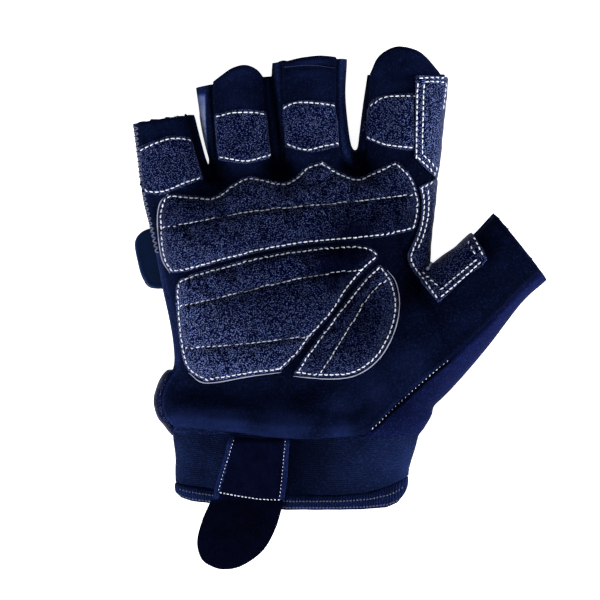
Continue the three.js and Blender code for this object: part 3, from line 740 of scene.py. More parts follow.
def hand_form():
    """The whole hand as one soft skin, with the folds of the palm."""
    if "points" in FORM:
        return FORM
    parts = [loft(PALM_ROWS, after=10)]
    parts += [loft(rows, before=12) for rows in DIGIT_ROWS.values()]
    points, faces = merge(parts)
    mesh = bpy.data.meshes.new("form")
    mesh.from_pydata(points.tolist(), [], faces)
    body = bpy.data.objects.new("form", mesh)
    bpy.context.scene.collection.objects.link(body)
    remesh = body.modifiers.new("skin", "REMESH")
    remesh.mode = "VOXEL"
    remesh.voxel_size = sizes().fineness / MM
    done = body.evaluated_get(bpy.context.evaluated_depsgraph_get())
    skin = done.to_mesh()
    p = np.empty(len(skin.vertices) * 3)
    skin.vertices.foreach_get("co", p)
    p = p.reshape(-1, 3)
    faces = [tuple(f.vertices) for f in skin.polygons]
    e = np.empty(len(skin.edges) * 2, int)
    skin.edges.foreach_get("vertices", e)
    e = e.reshape(-1, 2)
    done.to_mesh_clear()
    bpy.data.objects.remove(body)
    bpy.data.meshes.remove(mesh)
    near = np.maximum(np.bincount(e.ravel(), minlength=len(p)), 1)[:, None]
    for _ in range(9):
        total = np.zeros_like(p)
        np.add.at(total, e[:, 0], p[e[:, 1]])
        np.add.at(total, e[:, 1], p[e[:, 0]])
        p = 0.45 * p + 0.55 * total / near
    n = corner_normals(p, faces)
    if (n[p[:, 2] > 20][:, 2]).mean() < 0:
        faces = [tuple(reversed(f)) for f in faces]
        n = -n
    p += n * (0.34 * (1 - np.abs(n[:, 2])))[:, None]
    # the little and the ring finger all but touch at their roots
    close = away(p[:, :2], smooth_run([(-54, 71), (-51.3, 61), (-49.8, 55)], 2.0))[0]
    p += n * (0.42 * np.exp(-(close / 2.2) ** 2) * np.abs(n[:, 0]))[:, None]
    # the root of the thumb runs softly into the palm
    calm = swell(p[:, 2] - 17, 4) * np.exp(
        -(np.maximum(away(p[:, :2], smooth_run([(10, 4), (24, -8), (20, -24)], 2.0))[0]
                     - 7, 0) / 6) ** 2)
    for _ in range(60):
        total = np.zeros_like(p)
        np.add.at(total, e[:, 0], p[e[:, 1]])
        np.add.at(total, e[:, 1], p[e[:, 0]])
        p += (total / near - p) * (0.55 * calm)[:, None]
    upper = swell(n[:, 2] - 0.25, 0.45) * swell(p[:, 2] - 13, 5)
    top = np.flatnonzero(upper > 0)
    rise = np.zeros(len(p))
    xy = p[top][:, :2]
    for line, height, width in FOLDS:
        d, _ = away(xy, smooth_run(line, 1.0))
        rise[top] += height * np.exp(-(d / width) ** 2)
    rise[top] += 0.22 * unevenness(xy, 21, 3) + 0.10 * unevenness(xy, 8, 4)
    p[:, 2] += rise * upper
    under = swell(-n[:, 2] - 0.3, 0.4)
    p[:, 2] += under * (0.12 * unevenness(p[:, :2], 24, 8) + 0.1)
    n = corner_normals(p, faces)
    # how far each point is from the palm's outline, and which run of it is nearest
    runs, names = [], []
    for name, run in PALM_RUNS:
        part = outline_run(run, 1.2)
        runs.append(part)
        names += [name] * len(part)
    loop = np.vstack(runs)
    deep, part = depth(p[:, :2], loop)
    FORM.update(points=p, faces=faces, normals=n, palm=loop, run_names=names, deep=deep,
                nearest=np.array(part), tree=tree(p, faces))
    return FORM


def outline_run(run, step):
    """One open run of an outline, without its last point, with corners kept."""
    marks = [i for i, p in enumerate(run) if len(p) > 2]
    plain = [tuple(p[:2]) for p in run]
    parts = [smooth_run(plain[a:b + 1], step)[:-1] for a, b in zip(marks[:-1], marks[1:])]
    return np.vstack(parts)


def past_end(points, digit, margin=0.0):
    """How far each point is short of a digit's opening; less than 0 is past it."""
    a, b = (np.array(q) for q in OPENINGS[digit])
    way = (b - a) / np.linalg.norm(b - a)
    out = np.array([-way[1], way[0]])
    if digit == "wrist":
        out = np.array([way[1], -way[0]]) if way[0] > 0 else np.array([-way[1], way[0]])
        if out[1] > 0:
            out = -out
    elif digit == "thumb":
        out = -out if out[0] < 0 else out
    elif out[1] < 0:
        out = -out
    return -((points[:, :2] - a) @ out) + margin


def digit_of(points):
    """Which digit's end each point is near, for cutting the openings."""
    x, y = points[:, 0], points[:, 1]
    name = np.full(len(points), "none", dtype=object)
    first = -53.2 - (y - 68) * 0.21
    second = -25.0 - (y - 78) * 0.07
    name[(x < first) & (y > 58)] = "little"
    name[(x >= first) & (x < second) & (y > 70)] = "ring"
    name[(x >= second) & (x < 6.5) & (y > 78)] = "middle"
    name[(x >= 6.5) & (x < 48) & (y > 74)] = "index"
    name[(x > 46) & (y < 60) & (x + y > 58)] = "thumb"
    name[y < -30] = "wrist"
    return name


def open_ends(points, faces, margin=0.0):
    """Cuts the tubes off where the fingers, the thumb and the wrist come out."""
    owner = digit_of(points)
    value = np.full(len(points), 5.0)
    for digit in OPENINGS:
        mine = owner == digit
        value[mine] = past_end(points[mine], digit, margin)
    return clip(points, faces, value)


# ---------------------------------------------------------------------------
# Making objects
# ---------------------------------------------------------------------------

def piece(name, points, faces, slots, kinds=None, node=None, edge=None, sharp=50,
          painted_light_and_tone=None):
    """A finished object from a mesh in millimetres, riding on the glove."""
    mesh = bpy.data.meshes.new(name)
    mesh.from_pydata((np.asarray(points) * MM).tolist(), [], [tuple(f) for f in faces])
    for slot in slots:
        mesh.materials.append(finish(slot))
    if kinds is not None:
        mesh.polygons.foreach_set("material_index", np.asarray(kinds, np.int32))
    mesh.polygons.foreach_set("use_smooth", np.ones(len(mesh.polygons), bool))
    mesh.validate()
    mesh.set_sharp_from_angle(angle=math.radians(sharp))
    worn = mesh.attributes.new("worn", "FLOAT", "POINT")
    values = np.zeros(len(mesh.vertices), np.float32)
    if edge is not None:
        values[:len(edge)] = edge
    worn.data.foreach_set("value", values)
    # a value for each point: painted light above 0 and painted shade below it on most pieces, a
    # plain paler or darker tone on a few
    if painted_light_and_tone is not None:
        nap = mesh.attributes.new("painted_light_and_tone", "FLOAT", "POINT")
        values = np.zeros(len(mesh.vertices), np.float32)
        values[:len(painted_light_and_tone)] = painted_light_and_tone
        nap.data.foreach_set("value", values)
    obj = bpy.data.objects.new(name + "_made" if node else name, mesh)
    bpy.context.scene.collection.objects.link(obj)
    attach(obj, BODY)
    if node:
        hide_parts(node)
    return obj


def as_sheet(loop):
    """Turns a panel's outline seen from above into an array of points, and does nothing more
    with it."""
    loop = np.asarray(loop)[:, :2]


def stitches(trees, lines, pitch=None, length=0.76, width=None, lift=0.10, seed=1,
             lean=0.0):
    """Rows of short thread stitches lying on whatever is topmost."""
    pitch = pitch or sizes().stitch_pitch / MM
    width = width or sizes().stitch_width / MM
    rng = np.random.default_rng(seed)
    rows = np.array([0.0, 0.1, 0.28, 0.5, 0.72, 0.9, 1.0])
    thick = np.array([0.35, 0.8, 1.0, 1.0, 1.0, 0.8, 0.35])
    bow = 1 - (2 * rows - 1) ** 2
    turn = np.linspace(0, 2 * math.pi, 6, endpoint=False)
    made = []
    for line in lines:
        run = smooth_run(line, pitch / 4)
        centre = run[2::4]
        ahead = np.gradient(run, axis=0)[2::4]
        count = min(len(centre), len(ahead))
        spots, normals = drop(trees, centre[:count])
        for c, n, d in zip(spots, normals, ahead[:count]):
            if np.isnan(c[0]):
                continue
            f = np.array([d[0], d[1], 0.0])
            f -= n * (f @ n)
            f /= np.linalg.norm(f)
            s = np.cross(n, f)
            slant = rng.normal(lean, 0.06)
            f, s = f + s * slant, s - f * slant
            f, s = f / np.linalg.norm(f), s / np.linalg.norm(s)
            long = pitch * length * rng.uniform(0.93, 1.05)
            spine = (c[None] + f[None] * ((rows - 0.5) * long)[:, None]
                     + n[None] * (lift - 0.16 + 0.2 * bow)[:, None])
            ring = (s[None] * np.cos(turn)[:, None] * width / 2
                    + n[None] * np.sin(turn)[:, None] * width * 0.42)
            net = spine[:, None] + ring[None] * thick[:, None, None]
            p, q = grid(net, False, True)
            q.append(tuple(range(6)))
            q.append(tuple(reversed(range(len(p) - 6, len(p)))))
            made.append((p, q))
    return merge(made)


# ---------------------------------------------------------------------------
# Finishes: shared effects as node groups, and one material for each slot
# ---------------------------------------------------------------------------

GROUPS = {}
FINISHES = {}


class Nodes:
    """Short way of placing and joining nodes."""

    def __init__(self, tree_):
        self.tree = tree_

    def add(self, kind, **values):
        node = self.tree.nodes.new(kind)
        for key, value in values.items():
            setattr(node, key, value)
        return node

    def join(self, out, into):
        self.tree.links.new(out, into)

    def math(self, how, a, b=None, c=None, clamp=False):
        node = self.add("ShaderNodeMath", operation=how, use_clamp=clamp)
        for k, value in enumerate((a, b, c)):
            if value is None:
                continue
            if isinstance(value, (int, float)):
                node.inputs[k].default_value = value
            else:
                self.join(value, node.inputs[k])
        return node.outputs[0]

    def ranged(self, value, low, high, to_low=0.0, to_high=1.0):
        node = self.add("ShaderNodeMapRange", interpolation_type="SMOOTHSTEP")
        self.join(value, node.inputs["Value"])
        for name, v in (("From Min", low), ("From Max", high), ("To Min", to_low),
                        ("To Max", to_high)):
            node.inputs[name].default_value = v
        return node.outputs[0]

    def mix(self, how_much, a, b, how="MIX"):
        node = self.add("ShaderNodeMix", data_type="RGBA", blend_type=how)
        for k, value in ((0, how_much), (6, a), (7, b)):
            if isinstance(value, (int, float)):
                node.inputs[k].default_value = value
            elif isinstance(value, tuple):
                node.inputs[k].default_value = (*value, 1.0)
            else:
                self.join(value, node.inputs[k])
        return node.outputs[2]

    def noise(self, where, scale, detail=3.0, rough=0.55):
        node = self.add("ShaderNodeTexNoise")
        self.join(where, node.inputs["Vector"])
        if isinstance(scale, (int, float)):
            node.inputs["Scale"].default_value = scale
        else:
            self.join(scale, node.inputs["Scale"])
        node.inputs["Detail"].default_value = detail
        node.inputs["Roughness"].default_value = rough
        return node.outputs["Fac"]

    def cells(self, where, scale, feature="F1"):
        node = self.add("ShaderNodeTexVoronoi", feature=feature)
        self.join(where, node.inputs["Vector"])
        if isinstance(scale, (int, float)):
            node.inputs["Scale"].default_value = scale
        else:
            self.join(scale, node.inputs["Scale"])
        return node.outputs["Distance"]


def effect(name, inputs, outputs, build):
    """A shared effect: a node group with named inputs and outputs."""
    if name in GROUPS:
        return GROUPS[name]
    group = bpy.data.node_groups.new(name, "ShaderNodeTree")
    for label, default, low, high in inputs:
        socket = group.interface.new_socket(label, in_out="INPUT",
                                            socket_type="NodeSocketFloat")
        socket.default_value, socket.min_value, socket.max_value = default, low, high
    for label in outputs:
        group.interface.new_socket(label, in_out="OUTPUT", socket_type="NodeSocketFloat")
    nodes = Nodes(group)
    start = nodes.add("NodeGroupInput")
    end = nodes.add("NodeGroupOutput")
    where = nodes.add("ShaderNodeTexCoord").outputs["Object"]
    made = build(nodes, start.outputs, where)
    for label, out in zip(outputs, made):
        nodes.join(out, end.inputs[label])
    GROUPS[name] = group
    return group


def leather_grain_glint():
    """Pebbles of two sizes with creases between them, and the painted glints of their tops."""
    def build(n, given, where):
        warp = n.add("ShaderNodeTexNoise")
        n.join(where, warp.inputs["Vector"])
        warp.inputs["Scale"].default_value = 420
        shift = n.add("ShaderNodeVectorMath", operation="SCALE")
        n.join(warp.outputs["Color"], shift.inputs[0])
        shift.inputs["Scale"].default_value = 0.0007
        moved = n.add("ShaderNodeVectorMath", operation="ADD")
        n.join(where, moved.inputs[0])
        n.join(shift.outputs[0], moved.inputs[1])
        # the pebbles are a little longer one way than the other
        lie = n.add("ShaderNodeMapping")
        n.join(moved.outputs[0], lie.inputs["Vector"])
        lie.inputs["Rotation"].default_value = (0.0, 0.0, 0.9)
        lie.inputs["Scale"].default_value = (0.72, 1.12, 1.0)
        place = lie.outputs[0]
        domed = n.ranged(n.cells(place, given["Pebbles"], "F1"), 0.48, 0.17)
        each = n.noise(place, n.math("MULTIPLY", given["Pebbles"], 0.9), 1, 0.5)
        fine = n.noise(place, n.math("MULTIPLY", given["Pebbles"], 2.1), 1, 0.5)
        patchy = n.noise(where, 55, 3, 0.6)
        # the pale tops are painted glints, where light would catch the pebbles
        tops = n.math("MULTIPLY", domed, n.ranged(each, 0.34, 0.57, 0.28, 1.0))
        pale = n.math("MULTIPLY", tops, n.ranged(patchy, 0.30, 0.68, 0.82, 1.10))
        height = n.math("ADD", n.math("MULTIPLY", domed, 0.55),
                        n.math("ADD", n.math("MULTIPLY", tops, 0.30),
                               n.math("MULTIPLY", fine, 0.15)))
        return height, pale, patchy

    return effect("Leather Grain", [("Pebbles", 1300.0, 50.0, 5000.0)],
                  ["Height", "Pale", "Patchy"], build)


def suede_nap():
    """Short suede nap: fine fuzz and broad strokes, laid this way and that."""
    def build(n, given, where):
        fuzz = n.noise(where, given["Fuzz"], 3, 0.7)
        strokes = n.noise(where, 42, 4, 0.6)
        mid = n.noise(where, 260, 3, 0.6)
        tone = n.math("ADD", n.math("MULTIPLY", strokes, 0.55),
                      n.math("MULTIPLY", mid, 0.45))
        height = n.math("ADD", n.math("MULTIPLY", fuzz, 0.7), n.math("MULTIPLY", mid, 0.5))
        return height, n.ranged(tone, 0.33, 0.67), n.ranged(fuzz, 0.49, 0.68)

    return effect("Suede Nap", [("Fuzz", 1500.0, 100.0, 9000.0)],
                  ["Height", "Tone", "Fibre"], build)


def knit_ribs():
    """Ribs of knitted cloth at a slant, each made of small loops."""
    def build(n, given, where):
        split = n.add("ShaderNodeSeparateXYZ")
        n.join(where, split.inputs[0])
        cos = n.math("COSINE", given["Slant"])
        sin = n.math("SINE", given["Slant"])
        lean = n.math("MULTIPLY", split.outputs[2], 0.35)
        across = n.math("ADD", n.math("ADD", n.math("MULTIPLY", split.outputs[0], cos),
                                      n.math("MULTIPLY", split.outputs[1], sin)), lean)
        along = n.math("SUBTRACT", n.math("MULTIPLY", split.outputs[1], cos),
                       n.math("MULTIPLY", split.outputs[0], sin))
        wobble = n.math("MULTIPLY", n.noise(where, 240, 2, 0.5), 1.1)
        turns = n.math("MULTIPLY", given["Ribs"], 6.2832)
        wave = n.math("SINE", n.math("ADD", n.math("MULTIPLY", across, turns), wobble))
        rib = n.ranged(wave, -0.9, 0.9)
        loop_turns = n.math("MULTIPLY", turns, 1.6)
        flip = n.math("MULTIPLY", wave, 1.2)
        loops = n.ranged(n.math("SINE", n.math("ADD", n.math("MULTIPLY", along, loop_turns),
                                               flip)), -1.0, 1.0)
        height = n.math("ADD", n.math("MULTIPLY", rib, 0.7),
                        n.math("MULTIPLY", loops, 0.3))
        patchy = n.noise(where, 70, 3, 0.6)
        return height, rib, n.ranged(patchy, 0.3, 0.7)

    return effect("Knit Ribs", [("Ribs", 900.0, 10.0, 5000.0), ("Slant", 0.6, -4.0, 4.0)],
                  ["Height", "Rib", "Patchy"], build)


def worn_edge():
    """Pale, worn cut edges, uneven along their length."""
    def build(n, given, where):
        mark = n.add("ShaderNodeAttribute", attribute_name="worn")
        rub = n.noise(where, 900, 3, 0.7)
        mask = n.math("MULTIPLY", n.ranged(mark.outputs["Fac"], 0.35, 1.0),
                      n.ranged(rub, 0.3, 0.62))
        return (n.math("MULTIPLY", mask, given["Amount"]),)

    return effect("Worn Edge", [("Amount", 0.5, 0.0, 1.0)], ["Mask"], build)


def lint():
    """A little pale lint and dust caught in the surface."""
    def build(n, given, where):
        specks = n.ranged(n.noise(where, 1700, 2, 0.7), 0.70, 0.80)
        spread = n.ranged(n.noise(where, 60, 2, 0.5), 0.42, 0.66)
        return (n.math("MULTIPLY", n.math("MULTIPLY", specks, spread), given["Amount"]),)

    return effect("Lint", [("Amount", 0.3, 0.0, 1.0)], ["Mask"], build)


def place(n, group, **values):
    """An effect placed in a material with its own values."""
    node = n.add("ShaderNodeGroup")
    node.node_tree = group
    for key, value in values.items():
        node.inputs[key.replace("_", " ")].default_value = value
    return node.outputs


def shaded(name, colour, roughness, height=None, strength=0.4, distance=0.0002, **direct):
    """The one shader of a material, with its constant sockets set on it."""
    mat = bpy.data.materials.new(name)
    mat.use_nodes = True
    mat.node_tree.nodes.clear()
    n = Nodes(mat.node_tree)
    shader = n.add("ShaderNodeBsdfPrincipled")
    out = n.add("ShaderNodeOutputMaterial")
    n.join(shader.outputs[0], out.inputs[0])
    for key, value in direct.items():
        shader.inputs[key.replace("_", " ")].default_value = value
    colour_out = colour(n)
    n.join(colour_out[0], shader.inputs["Base Color"])
    if len(colour_out) > 2:
        n.join(colour_out[2], shader.inputs["Roughness"])
    else:
        shader.inputs["Roughness"].default_value = roughness
    bump = n.add("ShaderNodeBump")
    bump.inputs["Strength"].default_value = strength
    bump.inputs["Distance"].default_value = distance
    n.join(colour_out[1], bump.inputs["Height"])
    n.join(bump.outputs[0], shader.inputs["Normal"])
    return mat


def darker(colour, by):
    return tuple(c * by for c in colour)


def suede_finish(name, tone, sheen, fuzz=1500.0, fibre=13.0):
    def colour(n):
        nap = place(n, suede_nap(), Fuzz=fuzz)
        edge = place(n, worn_edge(), Amount=0.35)
        dust = place(n, lint(), Amount=0.06)
        painted_light_and_tone = n.add("ShaderNodeAttribute", attribute_name="painted_light_and_tone").outputs["Fac"]
        base = n.mix(nap["Tone"], darker(tone, 0.55), darker(tone, 1.4))
        # paler where the value is above 0 and darker where it is below: painted light and shade
        # on the palm; on the tongue, its upper part is paler
        lit_share = n.math("MULTIPLY", painted_light_and_tone, n.ranged(nap["Tone"], 0.0, 1.0, 0.7, 1.0),
                       clamp=True)
        base = n.mix(lit_share, base, darker(tone, 9.2))
        base = n.mix(n.math("MULTIPLY", painted_light_and_tone, -1.0, clamp=True), base,
                     darker(tone, 0.2))
        # painted glints: single fibres catch the light, more of them where light is painted
        catch = n.math("MULTIPLY", nap["Fibre"], n.ranged(painted_light_and_tone, -0.4, 0.8, 0.1, 0.95))
        base = n.mix(catch, base, darker(tone, fibre))
        base = n.mix(edge["Mask"], base, darker(tone, 4.5))
        base = n.mix(dust["Mask"], base, (0.06, 0.075, 0.125))
        return base, nap["Height"]

    return shaded(name, colour, 0.95, strength=0.35, distance=0.00025,
                  Specular_IOR_Level=0.012, Specular_Tint=(0.3, 0.45, 1.0, 1.0),
                  Sheen_Weight=sheen, Sheen_Roughness=0.42,
                  Sheen_Tint=(0.15, 0.28, 0.85, 1.0))


def leather_finish(name, deep, pale, pebbles=1300.0, gain=0.4, amount=0.25):
    def colour(n):
        grain = place(n, leather_grain_glint(), Pebbles=pebbles)
        edge = place(n, worn_edge(), Amount=amount)
        dust = place(n, lint(), Amount=0.12)
        lit_tone = n.add("ShaderNodeAttribute", attribute_name="painted_light_and_tone").outputs["Fac"]
        base = n.mix(grain["Patchy"], darker(deep, 0.8), darker(deep, 1.25))
        # painted shade: the leather is darker where the value is below 0
        base = n.mix(n.math("MULTIPLY", lit_tone, -0.8, clamp=True), base, darker(deep, 0.3))
        # painted glints on the grain's tops, more of them where light is painted
        lit_tone = n.math("MULTIPLY", n.math("ADD", lit_tone, 1.0), gain)
        base = n.mix(n.math("MULTIPLY", grain["Pale"], lit_tone, clamp=True), base,
                     tuple(pale))
        base = n.mix(edge["Mask"], base, darker(pale, 0.4))
        base = n.mix(dust["Mask"], base, (0.10, 0.12, 0.20))
        rough = n.ranged(grain["Pale"], 0.0, 1.0, 0.46, 0.62)
        return base, grain["Height"], rough

    return shaded(name, colour, 0.5, strength=1.0, distance=0.0005,
                  Specular_IOR_Level=0.018, Specular_Tint=(0.26, 0.45, 1.0, 1.0))


def knit_finish(name, tone, ribs, slant, strength=0.7, sheen=0.25, spread=2.2):
    def colour(n):
        knit = place(n, knit_ribs(), Ribs=ribs, Slant=slant)
        nap = place(n, suede_nap(), Fuzz=1350.0)
        dust = place(n, lint(), Amount=0.06)
        painted_light_and_tone = n.add("ShaderNodeAttribute", attribute_name="painted_light_and_tone").outputs["Fac"]
        base = n.mix(knit["Patchy"], darker(tone, 0.75), darker(tone, 1.3))
        base = n.mix(n.math("MULTIPLY", knit["Rib"], 0.6), base, darker(tone, spread))
        # paler where the value is above 0 and darker where it is below: painted light and shade
        # on the side strips and the cuff; on the back, paler by the cuff and the thumb
        base = n.mix(n.math("MULTIPLY", painted_light_and_tone, 1.0, clamp=True), base, darker(tone, 6.5))
        base = n.mix(n.math("MULTIPLY", painted_light_and_tone, -1.0, clamp=True), base,
                     darker(tone, 0.15))
        # beyond 1 the painted light goes on to a pale grey
        base = n.mix(n.math("SUBTRACT", painted_light_and_tone, 1.0, clamp=True), base,
                     (0.22, 0.26, 0.40))
        # painted glints: single fibres catch the light, more of them where the value is higher
        catch = n.math("MULTIPLY", nap["Fibre"], n.ranged(painted_light_and_tone, -0.4, 0.8, 0.1, 0.9))
        base = n.mix(catch, base, darker(tone, 9.5))
        base = n.mix(dust["Mask"], base, (0.075, 0.09, 0.16))
        return base, knit["Height"]

    return shaded(name, colour, 0.85, strength=strength, distance=0.0003,
                  Specular_IOR_Level=0.016, Specular_Tint=(0.3, 0.45, 1.0, 1.0),
                  Sheen_Weight=sheen, Sheen_Roughness=0.4,
                  Sheen_Tint=(0.15, 0.28, 0.9, 1.0))


def rubber_finish(name, tone):
    def colour(n):
        where = n.add("ShaderNodeTexCoord").outputs["Object"]
        cloud = n.noise(where, 130, 3, 0.6)
        fine = n.noise(where, 3500, 2, 0.6)
        edge = place(n, worn_edge(), Amount=0.6)
        base = n.mix(n.ranged(cloud, 0.3, 0.7), darker(tone, 0.75), darker(tone, 1.35))
        base = n.mix(edge["Mask"], base, darker(tone, 2.0))
        rough = n.ranged(cloud, 0.25, 0.75, 0.26, 0.42)
        return base, fine, rough

    return shaded(name, colour, 0.32, strength=0.12, distance=0.00008,
                  Specular_IOR_Level=0.10, Specular_Tint=(0.4, 0.6, 1.0, 1.0))


def thread_finish(name, tone):
    def colour(n):
        where = n.add("ShaderNodeTexCoord").outputs["Object"]
        twist = n.noise(where, 2600, 2, 0.5)
        base = n.mix(n.ranged(twist, 0.3, 0.7), darker(tone, 0.78), tuple(tone))
        return base, twist

    return shaded(name, colour, 0.6, strength=0.5, distance=0.00008,
                  Specular_IOR_Level=0.35, Sheen_Weight=0.25, Sheen_Roughness=0.5,
                  Sheen_Tint=(0.85, 0.90, 1.0, 1.0))


def finish(slot):
    """The material of one slot, made once."""
    if slot in FINISHES:
        return FINISHES[slot]
    c = colours()
    makers = {
        "palm_suede": lambda: suede_finish("Palm suede", tuple(c.suede), 0.006),
        "tongue_suede": lambda: suede_finish("Tongue suede", tuple(c.tongue), 0.003,
                                             fibre=6.0),
        "back_knit": lambda: knit_finish("Back knit", tuple(c.knit), 1450, 0.75, 0.45, 0.01,
                                         1.9),
        "side_knit": lambda: knit_finish("Side knit", tuple(c.side), 1250, 1.45, 0.5, 0.01,
                                         1.8),
        "lining": lambda: knit_finish("Lining", darker(tuple(c.side), 0.5), 1100, 0.2, 0.4,
                                      0.01),
        "pad_leather": lambda: leather_finish("Pad leather", tuple(c.leather),
                                              tuple(c.leather_grain_glint), 2150, 0.75, 0.12),
        "patch_leather": lambda: leather_finish("Patch leather",
                                                darker(tuple(c.leather), 1.3),
                                                tuple(c.leather_grain_glint), 2250, 0.84, 0.25),
        "strap_leather": lambda: leather_finish("Strap leather", tuple(c.leather),
                                                tuple(c.leather_grain_glint), 1700, 0.28, 0.2),
        "cuff_neoprene": lambda: knit_finish("Cuff cloth", tuple(c.cuff), 1300, 1.5708,
                                             0.5, 0.01, 1.9),
        "hem_tape": lambda: knit_finish("Hem cloth", tuple(c.hem), 1100, 0.0, 0.8, 0.01,
                                        3.2),
        "strap_webbing": lambda: knit_finish("Webbing", tuple(c.webbing), 1100, 1.45, 0.9,
                                             0.03),
        "tab_rubber": lambda: rubber_finish("Tab rubber", tuple(c.rubber)),
        "thread": lambda: thread_finish("White thread", tuple(c.thread)),
        "seam_thread": lambda: thread_finish("Navy thread", tuple(c.navy_thread)),
        "pad_backing": lambda: thread_finish("Pad backing", tuple(c.backing)),
    }
    FINISHES[slot] = makers[slot]()
    return FINISHES[slot]


# ---------------------------------------------------------------------------
# The pieces
# ---------------------------------------------------------------------------

TOPS = {}


def palm_surface():
    """The suede palm, cut from the hand's form, with its edges drawn into the seams."""
    form = hand_form()
    value = np.where(form["points"][:, 2] > 12.2, form["deep"], -6.0)
    value = np.where((form["points"][:, 2] > 9) & (form["points"][:, 2] <= 12.2)
                     & (form["deep"] > 0), -0.4, value)
    points, faces = clip(form["points"], form["faces"], value)
    n = corner_normals(points, faces)
    d, _ = away(points[:, :2], form["palm"], closed=True)
    roll = -0.75 * (1 - swell(d, 0.9)) + 0.38 * np.exp(-((d - 1.5) / 1.1) ** 2)
    return points + n * roll[:, None], faces, d


def make_palm():
    form = hand_form()
    points, faces, d = palm_surface()
    TOPS["palm"] = tree(points, faces)
    thick = sizes().suede / MM
    p, f, kinds = thicken(points, faces, thick)
    edge = np.exp(-(d / 0.8) ** 2)
    # painted light and shade of the suede, from the lines listed at the top, made a little
    # uneven
    painted_light_and_tone = np.full(len(points), 0.04)
    for line, share, width in PAINTED_PALM_LIGHT:
        near = np.exp(-(away(points[:, :2], smooth_run(line, 2.0))[0] / width) ** 2)
        painted_light_and_tone = np.maximum(painted_light_and_tone, share * near) if share > 0 else painted_light_and_tone + share * near
    painted_light_and_tone *= 1 + 0.35 * unevenness(points[:, :2], 18, 95)
    obj = piece("palm_panel", p, f, ["palm_suede", "lining"],
                [1 if k == 1 else 0 for k in kinds], "palm_panel", edge, 50,
                np.clip(painted_light_and_tone, -1, 1))
    as_sheet(form["palm"])
    return obj


def side_regions():
    """Faces of the form that the palm leaves bare, sorted by the piece they belong to."""
    form = hand_form()
    points, faces = form["points"], form["faces"]
    names = np.array(form["run_names"])
    deep = form["deep"]
    upper = points[:, 2] > WIDEST + 0.5
    sink = np.where(upper & (deep > -1.4), -1.15 * swell(deep + 1.4, 1.3), 0.0)
    # the wrist's edge is drawn in, on to the cuff
    sink -= 0.85 * swell(-45.6 - points[:, 1], 3.0)
    pulled = points + form["normals"] * (sink - 0.12)[:, None]
    value = np.where(upper, 1.5 - deep, 2.0)
    points, faces = clip(pulled, faces, value)
    points, faces = open_ends(points, faces)
    low = clip(points, faces, SIDE_SEAM - points[:, 2])
    high = clip(points, faces, points[:, 2] - SIDE_SEAM)
    middle = np.array([high[0][list(face)].mean(0) for face in high[1]])
    _, part = away(middle[:, :2], form["palm"], closed=True)
    owner = names[part]
    # a tube's end belongs to the strip beside it
    loop = form["palm"]
    for name, before, after in (("little", "little_side", "fourchette_little_ring"),
                                ("ring", "fourchette_little_ring",
                                 "fourchette_ring_middle"),
                                ("middle", "fourchette_ring_middle",
                                 "fourchette_middle_index"),
                                ("index", "fourchette_middle_index", "thumb_gusset"),
                                ("thumb", "thumb_gusset", "back_panel"),
                                ("wrist", "back_panel", "little_side")):
        spots = np.flatnonzero(owner == name)
        if not len(spots):
            continue
        own = loop[names == name]
        first = np.linalg.norm(middle[spots][:, :2] - own[0], axis=1)
        last = np.linalg.norm(middle[spots][:, :2] - own[-1], axis=1)
        owner[spots] = np.where(first < last, before, after)
    out = {"low": low}
    for name in set(owner):
        chosen = [face for face, o in zip(high[1], owner) if o == name]
        out[name] = compact(high[0], chosen)
    return out


def compact(points, faces):
    """Leaves out the corners that no face uses."""
    used = np.zeros(len(points), bool)
    for face in faces:
        for k in face:
            used[k] = True
    number = np.cumsum(used) - 1
    return points[used], [tuple(int(number[k]) for k in face) for face in faces]


def make_back():
    regions = FORM.setdefault("regions", side_regions())
    points, faces = merge([regions["low"], regions["back_panel"]])
    points, faces = weld(points, faces)
    TOPS["back"] = tree(points, faces)
    p, f, kinds = thicken(points, faces, sizes().knit / MM)
    # the knit is paler where it meets the cuff and along the thumb's edge
    pale = 0.10 * swell(-38 - points[:, 1], 9) + 0.12 * swell(points[:, 0] - 30, 20)
    obj = piece("back_panel", p, f, ["back_knit", "lining"],
                [1 if k == 1 else 0 for k in kinds], "back_panel", painted_light_and_tone=pale)
    as_sheet(hand_form()["palm"])
    return obj


def weld(points, faces):
    """Joins corners that lie on each other."""
    keys = np.round(points, 4)
    _, first, back = np.unique(keys, axis=0, return_index=True, return_inverse=True)
    back = back.ravel()
    out = []
    for face in faces:
        new = [int(back[k]) for k in face]
        new = [k for i, k in enumerate(new) if k != new[i - 1]]
        if len(new) > 2:
            out.append(tuple(new))
    return points[first], out


